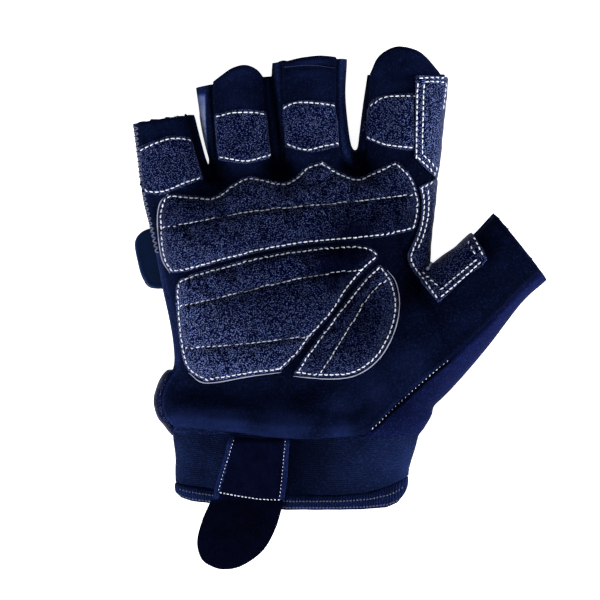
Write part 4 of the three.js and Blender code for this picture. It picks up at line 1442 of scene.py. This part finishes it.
def make_sides():
    regions = FORM.setdefault("regions", side_regions())
    made = []
    for name in ("little_side", "fourchette_little_ring", "fourchette_ring_middle",
                 "fourchette_middle_index", "thumb_gusset"):
        points, faces = weld(*regions[name])
        TOPS[name] = tree(points, faces)
        p, f, kinds = thicken(points, faces, sizes().knit / MM)
        x, y = points[:, 0], points[:, 1]
        # tones: painted light on the lit walls, such as the ring finger's pale edge, and painted
        # shade in the hollows between the fingers and along the seams
        slit = np.interp(y, [55, 61, 65, 73], [-50.0, -51.3, -52.4, -54.4])
        edge = np.interp(y, [55, 60, 65, 70], [-49.2, -49.7, -50.1, -50.4])
        pale = {"fourchette_little_ring":
                (1.35 + 0.65 * swell(78 - y, 9)) * swell(x - slit, 0.5) * (
                    1 - swell(x - edge + 0.3, 0.7)) * swell(y - 54.5, 5) * (
                    1 - swell(y - 79.2, 1.2))
                - 0.55 * swell(x - edge, 0.8) - 0.7 * (1 - swell(y - 53, 3)),
                "fourchette_ring_middle":
                -1.0 * np.exp(-((x + 25.4 - 0.142 * (81.8 - y)) / 1.0) ** 2)
                - 0.8 * (1 - swell(y - 55, 4)),
                "fourchette_middle_index":
                0.24 * (x < 6) - 1.1 * swell(x - 3.6, 1.6) * (1 - swell(y - 57.5, 2.5))
                }.get(name, 0.0 * x)
        # painted shade along the seam with the palm
        if name.startswith("fourchette"):
            pale = pale - 0.75 * np.exp(-(away(points[:, :2], FORM["palm"], True)[0]
                                          / 0.65) ** 2)
        obj = piece(name, p, f, ["side_knit", "lining"],
                    [1 if k == 1 else 0 for k in kinds], name, painted_light_and_tone=pale)
        made.append(obj)
    return made


def inset_line(loop, by):
    """The outline moved inwards, as a closed line of points."""
    ahead = np.roll(loop, -1, 0) - np.roll(loop, 1, 0)
    ahead /= np.maximum(np.linalg.norm(ahead, axis=1), 1e-9)[:, None]
    side = np.column_stack([-ahead[:, 1], ahead[:, 0]])
    votes = inside(loop + side * 0.3, loop).mean()
    side = side if votes > 0.5 else -side
    moved = loop + side * by
    keep = away(moved, loop, closed=True)[0] > by * 0.9
    return moved[keep]


def pad_lines(name):
    """A pad's outline and the line that it is sewn down along."""
    loop = inset_line(outline(PADS[name]["edge"], 0.9), 0.08)
    return loop, inset_line(loop, 1.0)


def pad_layout(name):
    """A pad's sheet on the palm, with the distance to its sewing lines."""
    spec = PADS[name]
    loop, stitch = pad_lines(name)
    channels = [smooth_run(c, 0.9) for c in spec["channels"]]
    stitch_closed = np.vstack([stitch, stitch[:1]])
    flat, faces = cut_sheet(loop, 0.92, [stitch_closed] + channels)
    deep, _ = depth(flat, loop)
    to_channel = np.full(len(flat), 99.0)
    for c in channels:
        to_channel = np.minimum(to_channel, away(flat, c)[0])
    ground, _ = drop([TOPS["palm"]], flat)
    return loop, stitch_closed, channels, flat, faces, deep, to_channel, ground


def settle(points, faces, held, pressure, frames, cap):
    """Lets the foam push the sewn leather out, with Cloth, and returns its corners."""
    scale = 0.01
    mesh = bpy.data.meshes.new("settling")
    mesh.from_pydata((points * scale).tolist(), [], faces)
    obj = bpy.data.objects.new("settling", mesh)
    scene = bpy.context.scene
    scene.collection.objects.link(obj)
    group = obj.vertex_groups.new(name="held")
    for k, weight in enumerate(held):
        if weight > 0:
            group.add([k], float(weight), "REPLACE")
    cloth = obj.modifiers.new("Cloth", "CLOTH")
    s = cloth.settings
    s.quality = 6
    s.mass = 0.12
    s.tension_stiffness = 9
    s.compression_stiffness = 9
    s.shear_stiffness = 6
    s.bending_stiffness = 0.35
    s.air_damping = 2.0
    s.use_pressure = True
    s.uniform_pressure_force = pressure
    s.vertex_group_mass = "held"
    s.pin_stiffness = 1.0
    s.shrink_min = -0.05
    s.effector_weights.gravity = 0
    cloth.collision_settings.use_collision = False
    cloth.collision_settings.use_self_collision = False
    cloth.point_cache.frame_start = 1
    cloth.point_cache.frame_end = frames
    for step in range(1, frames + 1):
        scene.frame_set(step)
    done = obj.evaluated_get(bpy.context.evaluated_depsgraph_get())
    shape = done.to_mesh()
    out = np.empty(len(shape.vertices) * 3)
    shape.vertices.foreach_get("co", out)
    out = out.reshape(-1, 3) / scale
    done.to_mesh_clear()
    bpy.data.objects.remove(obj)
    bpy.data.meshes.remove(mesh)
    scene.frame_set(1)
    move = out - points
    size = np.linalg.norm(move, axis=1)[:, None]
    held_back = cap * np.tanh(size / cap)
    return points + move * held_back / np.maximum(size, 1e-9)


def make_pads():
    high = sizes().pad_height / MM
    layouts = {name: pad_layout(name) for name in PADS}
    all_points, all_faces, all_held, spans, start = [], [], [], {}, 0
    for name, (loop, stitch, channels, flat, faces, deep, to_channel, ground) in layouts.items():
        rim = 0.45 + 0.20 * swell(deep, 0.7)
        edge = np.maximum(deep - 0.8, 0)
        nearest = np.minimum(edge, to_channel)
        pillow = 0.40 * (1 - np.exp(-edge / 1.7)) + 0.60 * (
            1 - np.exp(-nearest / 3.0)) * swell(edge, 2.5)
        rise = rim + (high - 1.0) * pillow
        rise += 0.14 * unevenness(flat, 6, 11) * swell(nearest, 3)
        rise += 0.16 * unevenness(flat, 13, 12) * swell(nearest, 5)
        points = ground + np.column_stack([np.zeros((len(flat), 2)), rise])
        held = np.where(deep < 0.95, 1.0, 0.0)
        held = np.maximum(held, np.where(to_channel < 0.3, 1.0, 0.0))
        spans[name] = (start, start + len(points))
        all_points.append(points)
        all_faces += [tuple(k + start for k in face) for face in faces]
        all_held.append(held)
        start += len(points)
    points = np.vstack(all_points)
    points = settle(points, all_faces, np.concatenate(all_held), sizes().stuffing,
                    sizes().settle_frames, 0.9)
    made = []
    for name, (loop, stitch, channels, flat, faces, deep, to_channel, ground) in layouts.items():
        a, b = spans[name]
        top = points[a:b].copy()
        # the thread draws the leather down along every sewn line
        pulled = 0.38 * np.exp(-(away(flat, stitch)[0] / 0.55) ** 2)
        pulled = pulled + 0.42 * np.exp(-(to_channel / 0.6) ** 2) * swell(deep - 0.8, 1.0)
        top[:, 2] -= pulled
        TOPS[name] = tree(top, faces)
        base = ground.copy()
        base[:, 2] -= 0.5
        count = len(top)
        edges = {}
        for face in faces:
            for i, k in enumerate(face):
                edges[(k, face[(i + 1) % 3])] = True
        rim = [(j, i, i + count, j + count) for i, j in edges if (j, i) not in edges]
        every = list(faces) + [tuple(k + count for k in reversed(face)) for face in faces] + rim
        worn = np.exp(-(deep / 0.4) ** 2)
        kinds = [0] * len(faces) + [1] * len(faces) + [0] * len(rim)
        # the pads carry painted light and shade: paler where they are lit, darker where they are
        # in shade
        obj = piece(name, np.vstack([top, base]), every, ["pad_leather", "pad_backing"],
                    kinds, name, worn, painted_light_and_tone=toned(top, PAINTED_LEATHER_LIGHT))
        made.append(obj)
        strip = smooth_run(PADS[name]["backing"], 0.8)
        spots, normals = drop([TOPS["palm"]], strip)
        good = ~np.isnan(spots[:, 0])
        spots = spots[good] + [0, 0, 0.32]
        wide = 0.20 + 0.03 * unevenness(spots[:, :2], 5, 21)
        taper = np.sin(np.linspace(0.12, math.pi - 0.12, len(spots))) ** 0.4
        p, f = tube(spots, wide * taper, 8)
        made.append(piece(name + "_cut_edge", p, f, ["pad_backing"]))
    return made


def make_patches():
    rise = sizes().leather / MM
    made = []
    palm_points, palm_faces, _ = palm_surface()
    for number, (name, edge) in enumerate(PATCHES.items()):
        loop = outline(edge, 0.8)
        deep, _ = depth(palm_points[:, :2], loop)
        points, faces = clip(palm_points, palm_faces, deep)
        n = corner_normals(points, faces)
        d, _ = away(points[:, :2], loop, closed=True)
        lift = rise * (0.55 + 0.45 * swell(d, 0.9))
        lift += 0.12 * unevenness(points[:, :2], 7, 30 + number)
        for line in PATCH_LINES[name]:
            lift -= 0.30 * np.exp(-(away(points[:, :2], smooth_run(line, 0.8))[0] / 0.7) ** 2)
        top = points + n * lift[:, None]
        TOPS[name] = tree(top, faces)
        p, f, _ = thicken(top, faces, rise + 0.35)
        obj = piece(name, p, f, ["patch_leather"], None, name, np.exp(-(d / 0.5) ** 2),
                    painted_light_and_tone=0.08 * unevenness(points[:, :2], 9, 31))
        as_sheet(loop)
        made.append(obj)
    return made


def make_saddle():
    form = hand_form()
    loop = outline(SADDLE, 0.8)
    points = form["points"]
    deep, _ = depth(points[:, :2], loop)
    value = np.minimum(deep, (points[:, 2] - 7.4) / 2)
    points, faces = clip(points, form["faces"], value)
    n = corner_normals(points, faces)
    d, _ = away(points[:, :2], loop, closed=True)
    top_weight = swell(n[:, 2], 0.5)
    lift = (sizes().leather / MM) * (0.65 + 0.35 * swell(d, 0.9)) + 0.35
    lift += 0.15 * unevenness(points, 8, 41)
    for line in SADDLE_LINES:
        lift -= 0.28 * top_weight * np.exp(
            -(away(points[:, :2], smooth_run(line, 0.8))[0] / 0.7) ** 2)
    top = points + n * lift[:, None]
    TOPS["saddle"] = tree(top, faces)
    p, f, kinds = thicken(top, faces, sizes().leather / MM + 0.45)
    # the saddle carries painted light where its sides are lit
    obj = piece("saddle_patch", p, f, ["patch_leather", "pad_backing"],
                [1 if k == 1 else 0 for k in kinds], "saddle_patch",
                np.exp(-(d / 0.8) ** 2) * top_weight, painted_light_and_tone=toned(points, PAINTED_LEATHER_LIGHT))
    as_sheet(loop)
    return obj


def cuff_point(t, y):
    """A point of the cuff's tube at an angle and a place along the wrist."""
    rows = np.array(CUFF_ROWS)
    order = np.argsort(rows[:, 1])
    left = np.interp(y, rows[order, 1], rows[order, 0])
    right = np.interp(y, rows[order, 1], rows[order, 2])
    top = np.interp(y, rows[order, 1], rows[order, 4])
    power = np.where(np.sin(t) >= 0, 2.5, 4.5)
    u = np.sign(np.cos(t)) * np.abs(np.cos(t)) ** (2 / power)
    w = np.sign(np.sin(t)) * np.abs(np.sin(t)) ** (2 / power)
    x = (left + right) / 2 + u * (right - left) / 2
    z = WIDEST + w * np.where(w >= 0, top - WIDEST, WIDEST - BACK_LEVEL)
    return np.column_stack([x, np.broadcast_to(y, x.shape), z])


def along(curve, x):
    line = np.array(curve, float)
    return np.interp(x, line[:, 0], line[:, 1])


def make_cuff():
    around = np.linspace(0, 2 * math.pi, 300, endpoint=False)
    # even steps round the tube
    ring = cuff_point(around, np.full(len(around), -58.0))
    length = np.r_[0, np.cumsum(np.linalg.norm(np.diff(np.vstack([ring, ring[:1]]), axis=0),
                                               axis=1))]
    around = np.interp(np.linspace(0, length[-1], 260, endpoint=False), length,
                       np.r_[around, 2 * math.pi])
    rows = []
    x_mid = cuff_point(around, np.full(len(around), -62.0))[:, 0]
    end = along(HEM_SEAM, x_mid)
    for t in np.linspace(0, 1, 36):
        y = -41.0 + (end + 0.6 + 41.0) * t
        rows.append(cuff_point(around, y))
    net = np.array(rows)
    flat = net.reshape(-1, 3)
    n = corner_normals(*grid(net, False, True))
    if (n[flat[:, 2] > 20][:, 2]).mean() < 0:
        n = -n
    wave = 0.35 * unevenness(flat[:, :2], 26, 51) + 0.12 * unevenness(flat[:, :2], 9, 52)
    for x0, size in ((-57, 0.5), (-50, -0.6), (-14, -0.5), (-6, 0.5), (9, -0.35), (20, 0.5)):
        sway = x0 + 2.0 * np.sin(flat[:, 1] * 0.11 + x0)
        wave += size * np.exp(-((flat[:, 0] - sway) / 3.0) ** 2) * swell(flat[:, 2] - 12, 6)
    flat = flat + n * wave[:, None]
    points, faces = flat, grid(net, False, True)[1]
    if (corner_normals(points, faces)[points[:, 2] > 20][:, 2]).mean() < 0:
        faces = [tuple(reversed(f)) for f in faces]
    TOPS["cuff"] = tree(points, faces)
    p, f, kinds = thicken(points, faces, 1.8)
    # the cuff carries painted light and shade
    cuff = piece("cuff", p, f, ["cuff_neoprene", "lining"],
                 [1 if k == 1 else 0 for k in kinds], "cuff",
                 painted_light_and_tone=toned(points, PAINTED_CUFF_LIGHT))
    # the doubled hem, a soft flattened roll under the seam
    profile = [(-0.2, -0.5), (0.1, 0.1), (0.7, 0.62), (1.7, 0.85), (3.0, 0.85),
               (4.0, 0.65), (4.7, 0.1), (4.8, -0.8), (4.2, -1.7), (2.6, -2.0),
               (0.8, -1.9), (-0.2, -1.4)]
    seam_row, rows = end, []
    lowest = along(HEM_END, x_mid)
    for s, h in profile:
        share = s / 4.8
        y = seam_row + (lowest - seam_row) * share
        rows.append((cuff_point(around, y), h))
    net = np.array([r for r, _ in rows])
    out = corner_normals(*grid(net[:8], False, True)).reshape(8, -1, 3)[4]
    if (out[net[4][:, 2] > 20][:, 2]).mean() < 0:
        out = -out
    crimp = 0.16 * unevenness(net[4], 5, 61) + 0.25 * unevenness(net[4], 17, 62)
    # at the sides of the wrist the roll lies flush with the cuff
    flush = (0.35 + 0.65 * np.abs(out[:, 2]))[:, None]
    net = np.array([net[k] + out * (rows[k][1] + crimp * (0.4 + 0.6 * (k < 8)))[:, None]
                    * (flush if rows[k][1] > 0 else 1.0) for k in range(len(rows))])
    points, faces = grid(net, True, True)
    if (corner_normals(points, faces)[points[:, 2] > 22.5][:, 2]).mean() < 0:
        faces = [tuple(reversed(f)) for f in faces]
    TOPS["hem"] = tree(points, faces)
    hem = piece("cuff_binding", points, faces, ["hem_tape"], None, "cuff_binding", None, 80)
    return [cuff, hem]


def make_tongue():
    loop = outline(TONGUE, 0.8)
    flat, faces = cut_sheet(loop, 0.85)
    under, _ = drop([TOPS["cuff"], TOPS["hem"]], flat)
    z = under[:, 2]
    x, y = flat[:, 0], flat[:, 1]
    # it lies on the cuff and its hem, then hangs out past it and sinks a little
    lie = 24.35 + 0.35 * np.exp(-((y + 72) / 4) ** 2)
    past = np.maximum(-73.5 - y, 0)
    lie = lie - 0.006 * past ** 2 - 0.06 * past
    lie = np.where(np.isnan(z), lie, np.maximum(lie, z + 0.15))
    deep, _ = depth(flat, loop)
    bend = 0.5 * np.exp(-((x + 24.5 + 0.08 * (y + 60)) / 1.5) ** 2) * swell(-46 - y, 8)
    cup = -0.5 * np.exp(-(deep / 3.0) ** 2) * swell(-75 - y, 8)
    band = 0.42 * (1 - swell(deep - 2.3, 0.5)) * swell(y + 71.2, 0.6)
    lie = lie + 1.35 + bend + cup + band
    lie += 0.25 * unevenness(flat, 14, 71) + 0.08 * unevenness(flat, 5, 72)
    # its root is sewn in under the palm's hem
    lie -= 2.6 * swell(y + 50.2, 3.4)
    for line in TONGUE_LINES:
        lie -= 0.3 * np.exp(-(away(flat, smooth_run(line, 0.8))[0] / 0.6) ** 2)
    points = np.column_stack([flat, lie])
    TOPS["tongue"] = tree(points, faces)
    worn = np.maximum(np.exp(-(deep / 0.8) ** 2),
                      0.75 * (1 - swell(deep - 2.2, 0.4)) * swell(y + 71.5, 0.6))
    p, f, kinds = thicken(points, faces, 1.3)
    bound = (deep < 2.35) & (y > -71.4)
    kinds = [1 if k != 1 and all(bound[i % len(bound)] for i in face) else 0
             for k, face in zip(kinds, f)]
    obj = piece("pull_tongue", p, f, ["tongue_suede", "hem_tape"], kinds, "pull_tongue",
                worn, painted_light_and_tone=0.24 * swell(y + 71.8, 1.5))
    as_sheet(loop)
    return obj


def make_straps():
    made = []
    # the leather band that comes round the side of the wrist
    y = np.linspace(*STRAP_REACH, 44)
    line = smooth_run(CRESCENT, 0.5)
    order = np.argsort(line[:, 1])
    reach = np.interp(y, line[order, 1], line[order, 0])
    rows = []
    for k, (yy, xo) in enumerate(zip(y, reach)):
        cx, cz, rz = -61.5, 8.2, 7.2
        rx = cx - xo
        # it stops just over the side, and a narrow rim of it shows from above
        first = math.pi - math.acos(max(0.0, 1 - 2.8 / rx) ** 1.25)
        a = np.linspace(first, math.pi * 1.5, 24)
        arc = np.column_stack([cx + rx * np.sign(np.cos(a)) * np.abs(np.cos(a)) ** 0.8,
                               cz + rz * np.sin(a)])
        flat_part = np.column_stack([np.linspace(-58.5, 23.5, 40), np.full(40, 1.0)])
        profile = np.vstack([arc, flat_part])
        rows.append(np.column_stack([profile[:, 0], np.full(len(profile), yy),
                                     profile[:, 1]]))
    net = np.array(rows)
    points, faces = grid(net)
    n = corner_normals(points, faces)
    outward = points[:, 0] < -66
    if n[outward][:, 0].mean() > 0:
        faces = [tuple(reversed(f)) for f in faces]
        n = -n
    edge = np.minimum(points[:, 1] - STRAP_REACH[0], STRAP_REACH[1] - points[:, 1])
    points = points + n * (0.25 * swell(edge, 2.2) * swell(-60 - points[:, 0], 3)
                           + 0.1 * unevenness(points, 7, 81) * (points[:, 2] > 3))[:, None]
    points[:, 2] = np.maximum(points[:, 2], 0.02)
    TOPS["strap"] = tree(points, faces)
    p, f, kinds = thicken(points, faces, 0.95)
    # painted shade of a sewn crease: a dark line runs round the middle of the rim
    middle = np.interp(points[:, 1], y, reach) + 1.35
    crease_shade = -0.95 * np.exp(-((points[:, 0] - middle) / 0.36) ** 2) * (points[:, 2] > 9)
    strap = piece("wrist_strap", p, f, ["strap_leather", "strap_webbing"],
                  [1 if k == 1 else 0 for k in kinds], "wrist_strap",
                  np.exp(-(edge / 1.1) ** 2), painted_light_and_tone=crease_shade)
    made.append(strap)
    # the flat hook-and-loop strap under the back
    loop = outline(CLOSURE, 1.0)
    flat, faces = cut_sheet(loop, 1.1)
    deep, _ = depth(flat, loop)
    top = 1.55 + 0.25 * swell(deep, 1.2) + 0.05 * unevenness(flat, 9, 91)
    points = np.column_stack([flat, top])
    p, f, kinds = thicken(points, faces, top - 0.02,
                          np.tile([0.0, 0.0, 1.0], (len(points), 1)))
    made.append(piece("closure_strap", p, f, ["strap_webbing"], None, "closure_strap",
                      np.exp(-(deep / 1.0) ** 2)))
    loop = outline(TAB, 0.6)
    flat, faces = cut_sheet(loop, 0.7)
    deep, _ = depth(flat, loop)
    edge_round = np.sqrt(np.clip(1 - (1 - np.clip(deep / 1.1, 0, 1)) ** 2, 0, 1))
    dish = 0.35 * np.exp(-((deep - 2.4) / 0.6) ** 2)
    top = 1.0 + 0.95 * edge_round - dish * 0.6
    low = 1.0 - 0.96 * edge_round
    points = np.column_stack([flat, top])
    p, f, kinds = thicken(points, faces, top - low,
                          np.tile([0.0, 0.0, 1.0], (len(points), 1)))
    made.append(piece("closure_tab", p, f, ["tab_rubber"], None, "closure_tab",
                      np.exp(-((deep - 0.8) / 0.7) ** 2)))
    return made


def make_threads():
    made = []
    for name in PADS:
        loop, stitch = pad_lines(name)
        channels = []
        for c in PADS[name]["channels"]:
            run = smooth_run(c, 0.5)
            channels.append(run[depth(run, loop)[0] > 1.1])
        p, f = merge([stitches([TOPS[name]], [np.vstack([stitch, stitch[:1]])], lift=0.22,
                               seed=len(name)),
                      stitches([TOPS[name]], channels, width=0.43, lift=0.36,
                               seed=len(name) + 1)])
        made.append(piece(name + "_stitches", p, f, ["thread"], sharp=80))
    lines = [line for name in PATCHES for line in PATCH_LINES[name]]
    p, f = stitches([TOPS[name] for name in PATCHES] + [TOPS["palm"]], lines, seed=5)
    made.append(piece("patch_stitches", p, f, ["thread"], sharp=80))
    p, f = stitches([TOPS["saddle"]], SADDLE_LINES, seed=6)
    made.append(piece("saddle_stitches", p, f, ["thread"], sharp=80))
    p, f = merge([stitches([TOPS["tongue"]], TONGUE_LINES[:2], pitch=1.35, length=0.46,
                           width=0.17, seed=7),
                  stitches([TOPS["tongue"]], TONGUE_LINES[2:], pitch=1.35, length=0.60,
                           width=0.34, seed=7)])
    made.append(piece("tongue_stitches", p, f, ["thread"], sharp=80))
    p, f = stitches([TOPS["palm"], TOPS["back"]], [THUMB_SEAM_LINE], pitch=1.7,
                    length=0.42, width=0.29, lift=0.2, seed=8, lean=0.7)
    made.append(piece("thumb_seam_stitches", p, f, ["thread"], sharp=80))
    # a dark roll of suede beside the thumb's stitches, put there as the seam's painted shadow
    line = smooth_run(THUMB_SEAM_LINE, 0.7) + [0.66, -0.66]
    spots, _ = drop([TOPS["palm"], TOPS["back"]], line)
    taper = np.sin(np.linspace(0.1, math.pi - 0.1, len(spots))) ** 0.5
    p, f = tube(spots + [0, 0, 0.06], 0.60 * taper, 8)
    made.append(piece("thumb_seam_shadow", p, f, ["tongue_suede"]))
    # the single thread along the middle finger's hem
    spots, _ = drop([TOPS["palm"]], smooth_run(MIDDLE_HEM_LINE, 0.7))
    p, f = tube(spots + [0, 0, 0.06], 0.07, 6)
    made.append(piece("middle_hem_thread", p, f, ["seam_thread"]))
    return made


def make_seams():
    """The overlocked edge of the little finger's side and the hem's cover stitches."""
    form = hand_form()
    made = []
    skin = form["tree"]
    names = np.array(form["run_names"])

    def zigzag(line, step, inner, outer, radius, lift):
        """Loops of thread over a seam, back and forth across the line."""
        run = smooth_line(line, step)
        spots = []
        ahead = np.gradient(run, axis=0)
        ahead /= np.linalg.norm(ahead, axis=1)[:, None]
        left = np.column_stack([-ahead[:, 1], ahead[:, 0]])
        for k, (c, s) in enumerate(zip(run, left)):
            w = inner if k % 2 == 0 else outer
            q = c + s * w
            hit, n, _, _ = skin.ray_cast(Vector((q[0], q[1], 90)), Vector((0, 0, -1)))
            if hit is None or hit.z < 11.5:
                hit, n, _, _ = skin.find_nearest(Vector((q[0], q[1], 13.5)))
            spots.append(np.array(hit) + np.array(n) * lift)
        return smooth_run(spots, 0.45)

    threads = []
    left = form["palm"][names == "little_side"]
    left = left[(left[:, 1] > 20)]
    threads.append(tube(zigzag(left, 0.95, -0.2, 1.9, 0.2, 0.15), 0.2, 5))
    p, f = merge(threads)
    made.append(piece("overlock_threads", p, f, ["seam_thread"], sharp=80))

    # two rows of cover stitches on the cuff's hem
    x = np.linspace(-60.4, 23.2, 60)
    rows = []
    for share in (0.34, 0.80):
        y = along(HEM_SEAM, x) + (along(HEM_END, x) - along(HEM_SEAM, x)) * share
        rows.append(np.column_stack([x, y]))
    p, f = stitches([TOPS["hem"]], rows, pitch=1.25, length=0.66, width=0.46, lift=0.08,
                    seed=9)
    made.append(piece("hem_stitches", p, f, ["seam_thread"], sharp=80))
    return made


def make_stage():
    scene = bpy.context.scene
    given = studio()
    high = 0.013
    if given.floor_visible:
        side = 2.2
        steps = 12
        x = np.linspace(-side, side, steps)
        net = np.array([[(u, v, 0.0) for u in x] for v in x])
        points, faces = grid(net)
        mesh = bpy.data.meshes.new("studio_floor")
        mesh.from_pydata(points.tolist(), [], faces)
        floor = bpy.data.objects.new("studio_floor", mesh)
        scene.collection.objects.link(floor)
        tone = tuple(colours().floor)

        def colour(n):
            where = n.add("ShaderNodeTexCoord").outputs["Object"]
            cloud = n.noise(where, 3, 2, 0.5)
            return n.mix(cloud, darker(tone, 0.995), tone), cloud

        mesh.materials.append(shaded("Floor", colour, 0.9, strength=0.0,
                                     Emission_Color=(1.0, 1.0, 1.0, 1.0),
                                     Emission_Strength=0.85))
    camera = bpy.data.cameras.new("camera")
    camera.lens = given.lens
    camera.sensor_width = 36
    away_by = given.view_width / 36 * given.lens
    view = bpy.data.objects.new("camera", camera)
    view.location = (-0.01509, 0.0030, high + away_by)
    camera.clip_start, camera.clip_end = 0.05, 20
    scene.collection.objects.link(view)
    scene.camera = view

    def softbox(name, place_, aim, size, power, tint=(1, 1, 1)):
        light = bpy.data.lights.new(name, "AREA")
        light.shape = "RECTANGLE"
        light.size, light.size_y = size
        light.energy = power
        light.color = tint
        obj = bpy.data.objects.new(name, light)
        obj.location = place_
        obj.rotation_euler = (Vector(aim) - Vector(place_)).to_track_quat("-Z", "Y").to_euler()
        scene.collection.objects.link(obj)

    softbox("overhead", (0.0, 0.1, 1.5), (0, 0, 0), (1.4, 1.4), given.overhead)
    softbox("left", (-0.50, -0.50, 0.24), (-0.02, 0, 0.02), (0.5, 0.35), given.left)
    softbox("right", (0.60, -0.08, 0.13), (-0.02, 0, 0.02), (0.4, 0.25), given.right)
    world = bpy.data.worlds.new("studio")
    world.use_nodes = True
    ground = world.node_tree.nodes["Background"]
    ground.inputs["Color"].default_value = (1, 1, 1, 1)
    ground.inputs["Strength"].default_value = given.surround
    scene.world = world
    scene.view_settings.view_transform = "Standard"


# ---------------------------------------------------------------------------
# Operators, panel and registration
# ---------------------------------------------------------------------------

class GLOVE_OT_palm(Operator):
    """Cut and form the suede palm"""
    bl_idname = "glove.palm"
    bl_label = "Palm"

    def execute(self, context):
        make_palm()
        return {"FINISHED"}


class GLOVE_OT_back(Operator):
    """Make the knit back and the knit side of the thumb"""
    bl_idname = "glove.back"
    bl_label = "Back"

    def execute(self, context):
        make_back()
        return {"FINISHED"}


class GLOVE_OT_sides(Operator):
    """Make the knit strips between the palm and the back"""
    bl_idname = "glove.sides"
    bl_label = "Side strips"

    def execute(self, context):
        make_sides()
        return {"FINISHED"}


class GLOVE_OT_pads(Operator):
    """Make the three quilted palm pads and let them swell"""
    bl_idname = "glove.pads"
    bl_label = "Quilted pads"

    def execute(self, context):
        make_pads()
        return {"FINISHED"}


class GLOVE_OT_patches(Operator):
    """Lay the four leather patches on the finger faces"""
    bl_idname = "glove.patches"
    bl_label = "Finger patches"

    def execute(self, context):
        make_patches()
        return {"FINISHED"}


class GLOVE_OT_saddle(Operator):
    """Lay the leather over the index finger, the crotch and the thumb"""
    bl_idname = "glove.saddle"
    bl_label = "Saddle patch"

    def execute(self, context):
        make_saddle()
        return {"FINISHED"}


class GLOVE_OT_cuff(Operator):
    """Make the stretch cuff and its doubled hem"""
    bl_idname = "glove.cuff"
    bl_label = "Cuff"

    def execute(self, context):
        make_cuff()
        return {"FINISHED"}


class GLOVE_OT_tongue(Operator):
    """Make the suede pull tongue"""
    bl_idname = "glove.tongue"
    bl_label = "Pull tongue"

    def execute(self, context):
        make_tongue()
        return {"FINISHED"}


class GLOVE_OT_straps(Operator):
    """Make the wrist strap and the fastening under the back"""
    bl_idname = "glove.straps"
    bl_label = "Straps"

    def execute(self, context):
        make_straps()
        return {"FINISHED"}


class GLOVE_OT_threads(Operator):
    """Sew the white rows of stitches"""
    bl_idname = "glove.threads"
    bl_label = "White stitches"

    def execute(self, context):
        make_threads()
        return {"FINISHED"}


class GLOVE_OT_seams(Operator):
    """Sew the overlocked seams and the hem"""
    bl_idname = "glove.seams"
    bl_label = "Navy seams"

    def execute(self, context):
        make_seams()
        return {"FINISHED"}


class GLOVE_OT_stage(Operator):
    """Set out the floor, the lights and the camera"""
    bl_idname = "glove.stage"
    bl_label = "Studio"

    def execute(self, context):
        make_stage()
        return {"FINISHED"}


STEPS = (GLOVE_OT_palm, GLOVE_OT_back, GLOVE_OT_sides, GLOVE_OT_pads, GLOVE_OT_patches,
         GLOVE_OT_saddle, GLOVE_OT_cuff, GLOVE_OT_tongue, GLOVE_OT_straps,
         GLOVE_OT_threads, GLOVE_OT_seams, GLOVE_OT_stage)


class GLOVE_PT_panel(Panel):
    """Sizes, colours and making steps of the glove"""
    bl_idname = "GLOVE_PT_panel"
    bl_label = "Training Glove"
    bl_space_type = "VIEW_3D"
    bl_region_type = "UI"
    bl_category = "Glove"

    def draw(self, context):
        layout = self.layout
        scene = context.scene
        for group in (scene.glove_sizes, scene.glove_colours, scene.glove_studio):
            box = layout.box()
            for key in group.__annotations__:
                box.prop(group, key)
        for step in STEPS:
            layout.operator(step.bl_idname)


CLASSES = (GloveSizes, GloveColours, GloveStudio) + STEPS + (GLOVE_PT_panel,)


def register():
    for one in CLASSES:
        bpy.utils.register_class(one)
    bpy.types.Scene.glove_sizes = PointerProperty(type=GloveSizes)
    bpy.types.Scene.glove_colours = PointerProperty(type=GloveColours)
    bpy.types.Scene.glove_studio = PointerProperty(type=GloveStudio)


def unregister():
    del bpy.types.Scene.glove_studio
    del bpy.types.Scene.glove_colours
    del bpy.types.Scene.glove_sizes
    for one in reversed(CLASSES):
        bpy.utils.unregister_class(one)


def plain(box):
    return [[float(v) for v in corner] for corner in box]


def main():
    register()
    bpy.ops.glove.palm()
    bpy.ops.glove.back()
    bpy.ops.glove.sides()
    bpy.ops.glove.pads()
    bpy.ops.glove.patches()
    bpy.ops.glove.saddle()
    bpy.ops.glove.cuff()
    bpy.ops.glove.tongue()
    bpy.ops.glove.straps()
    bpy.ops.glove.threads()
    bpy.ops.glove.seams()
    bpy.ops.glove.stage()


if __name__ == "__main__":
    main()
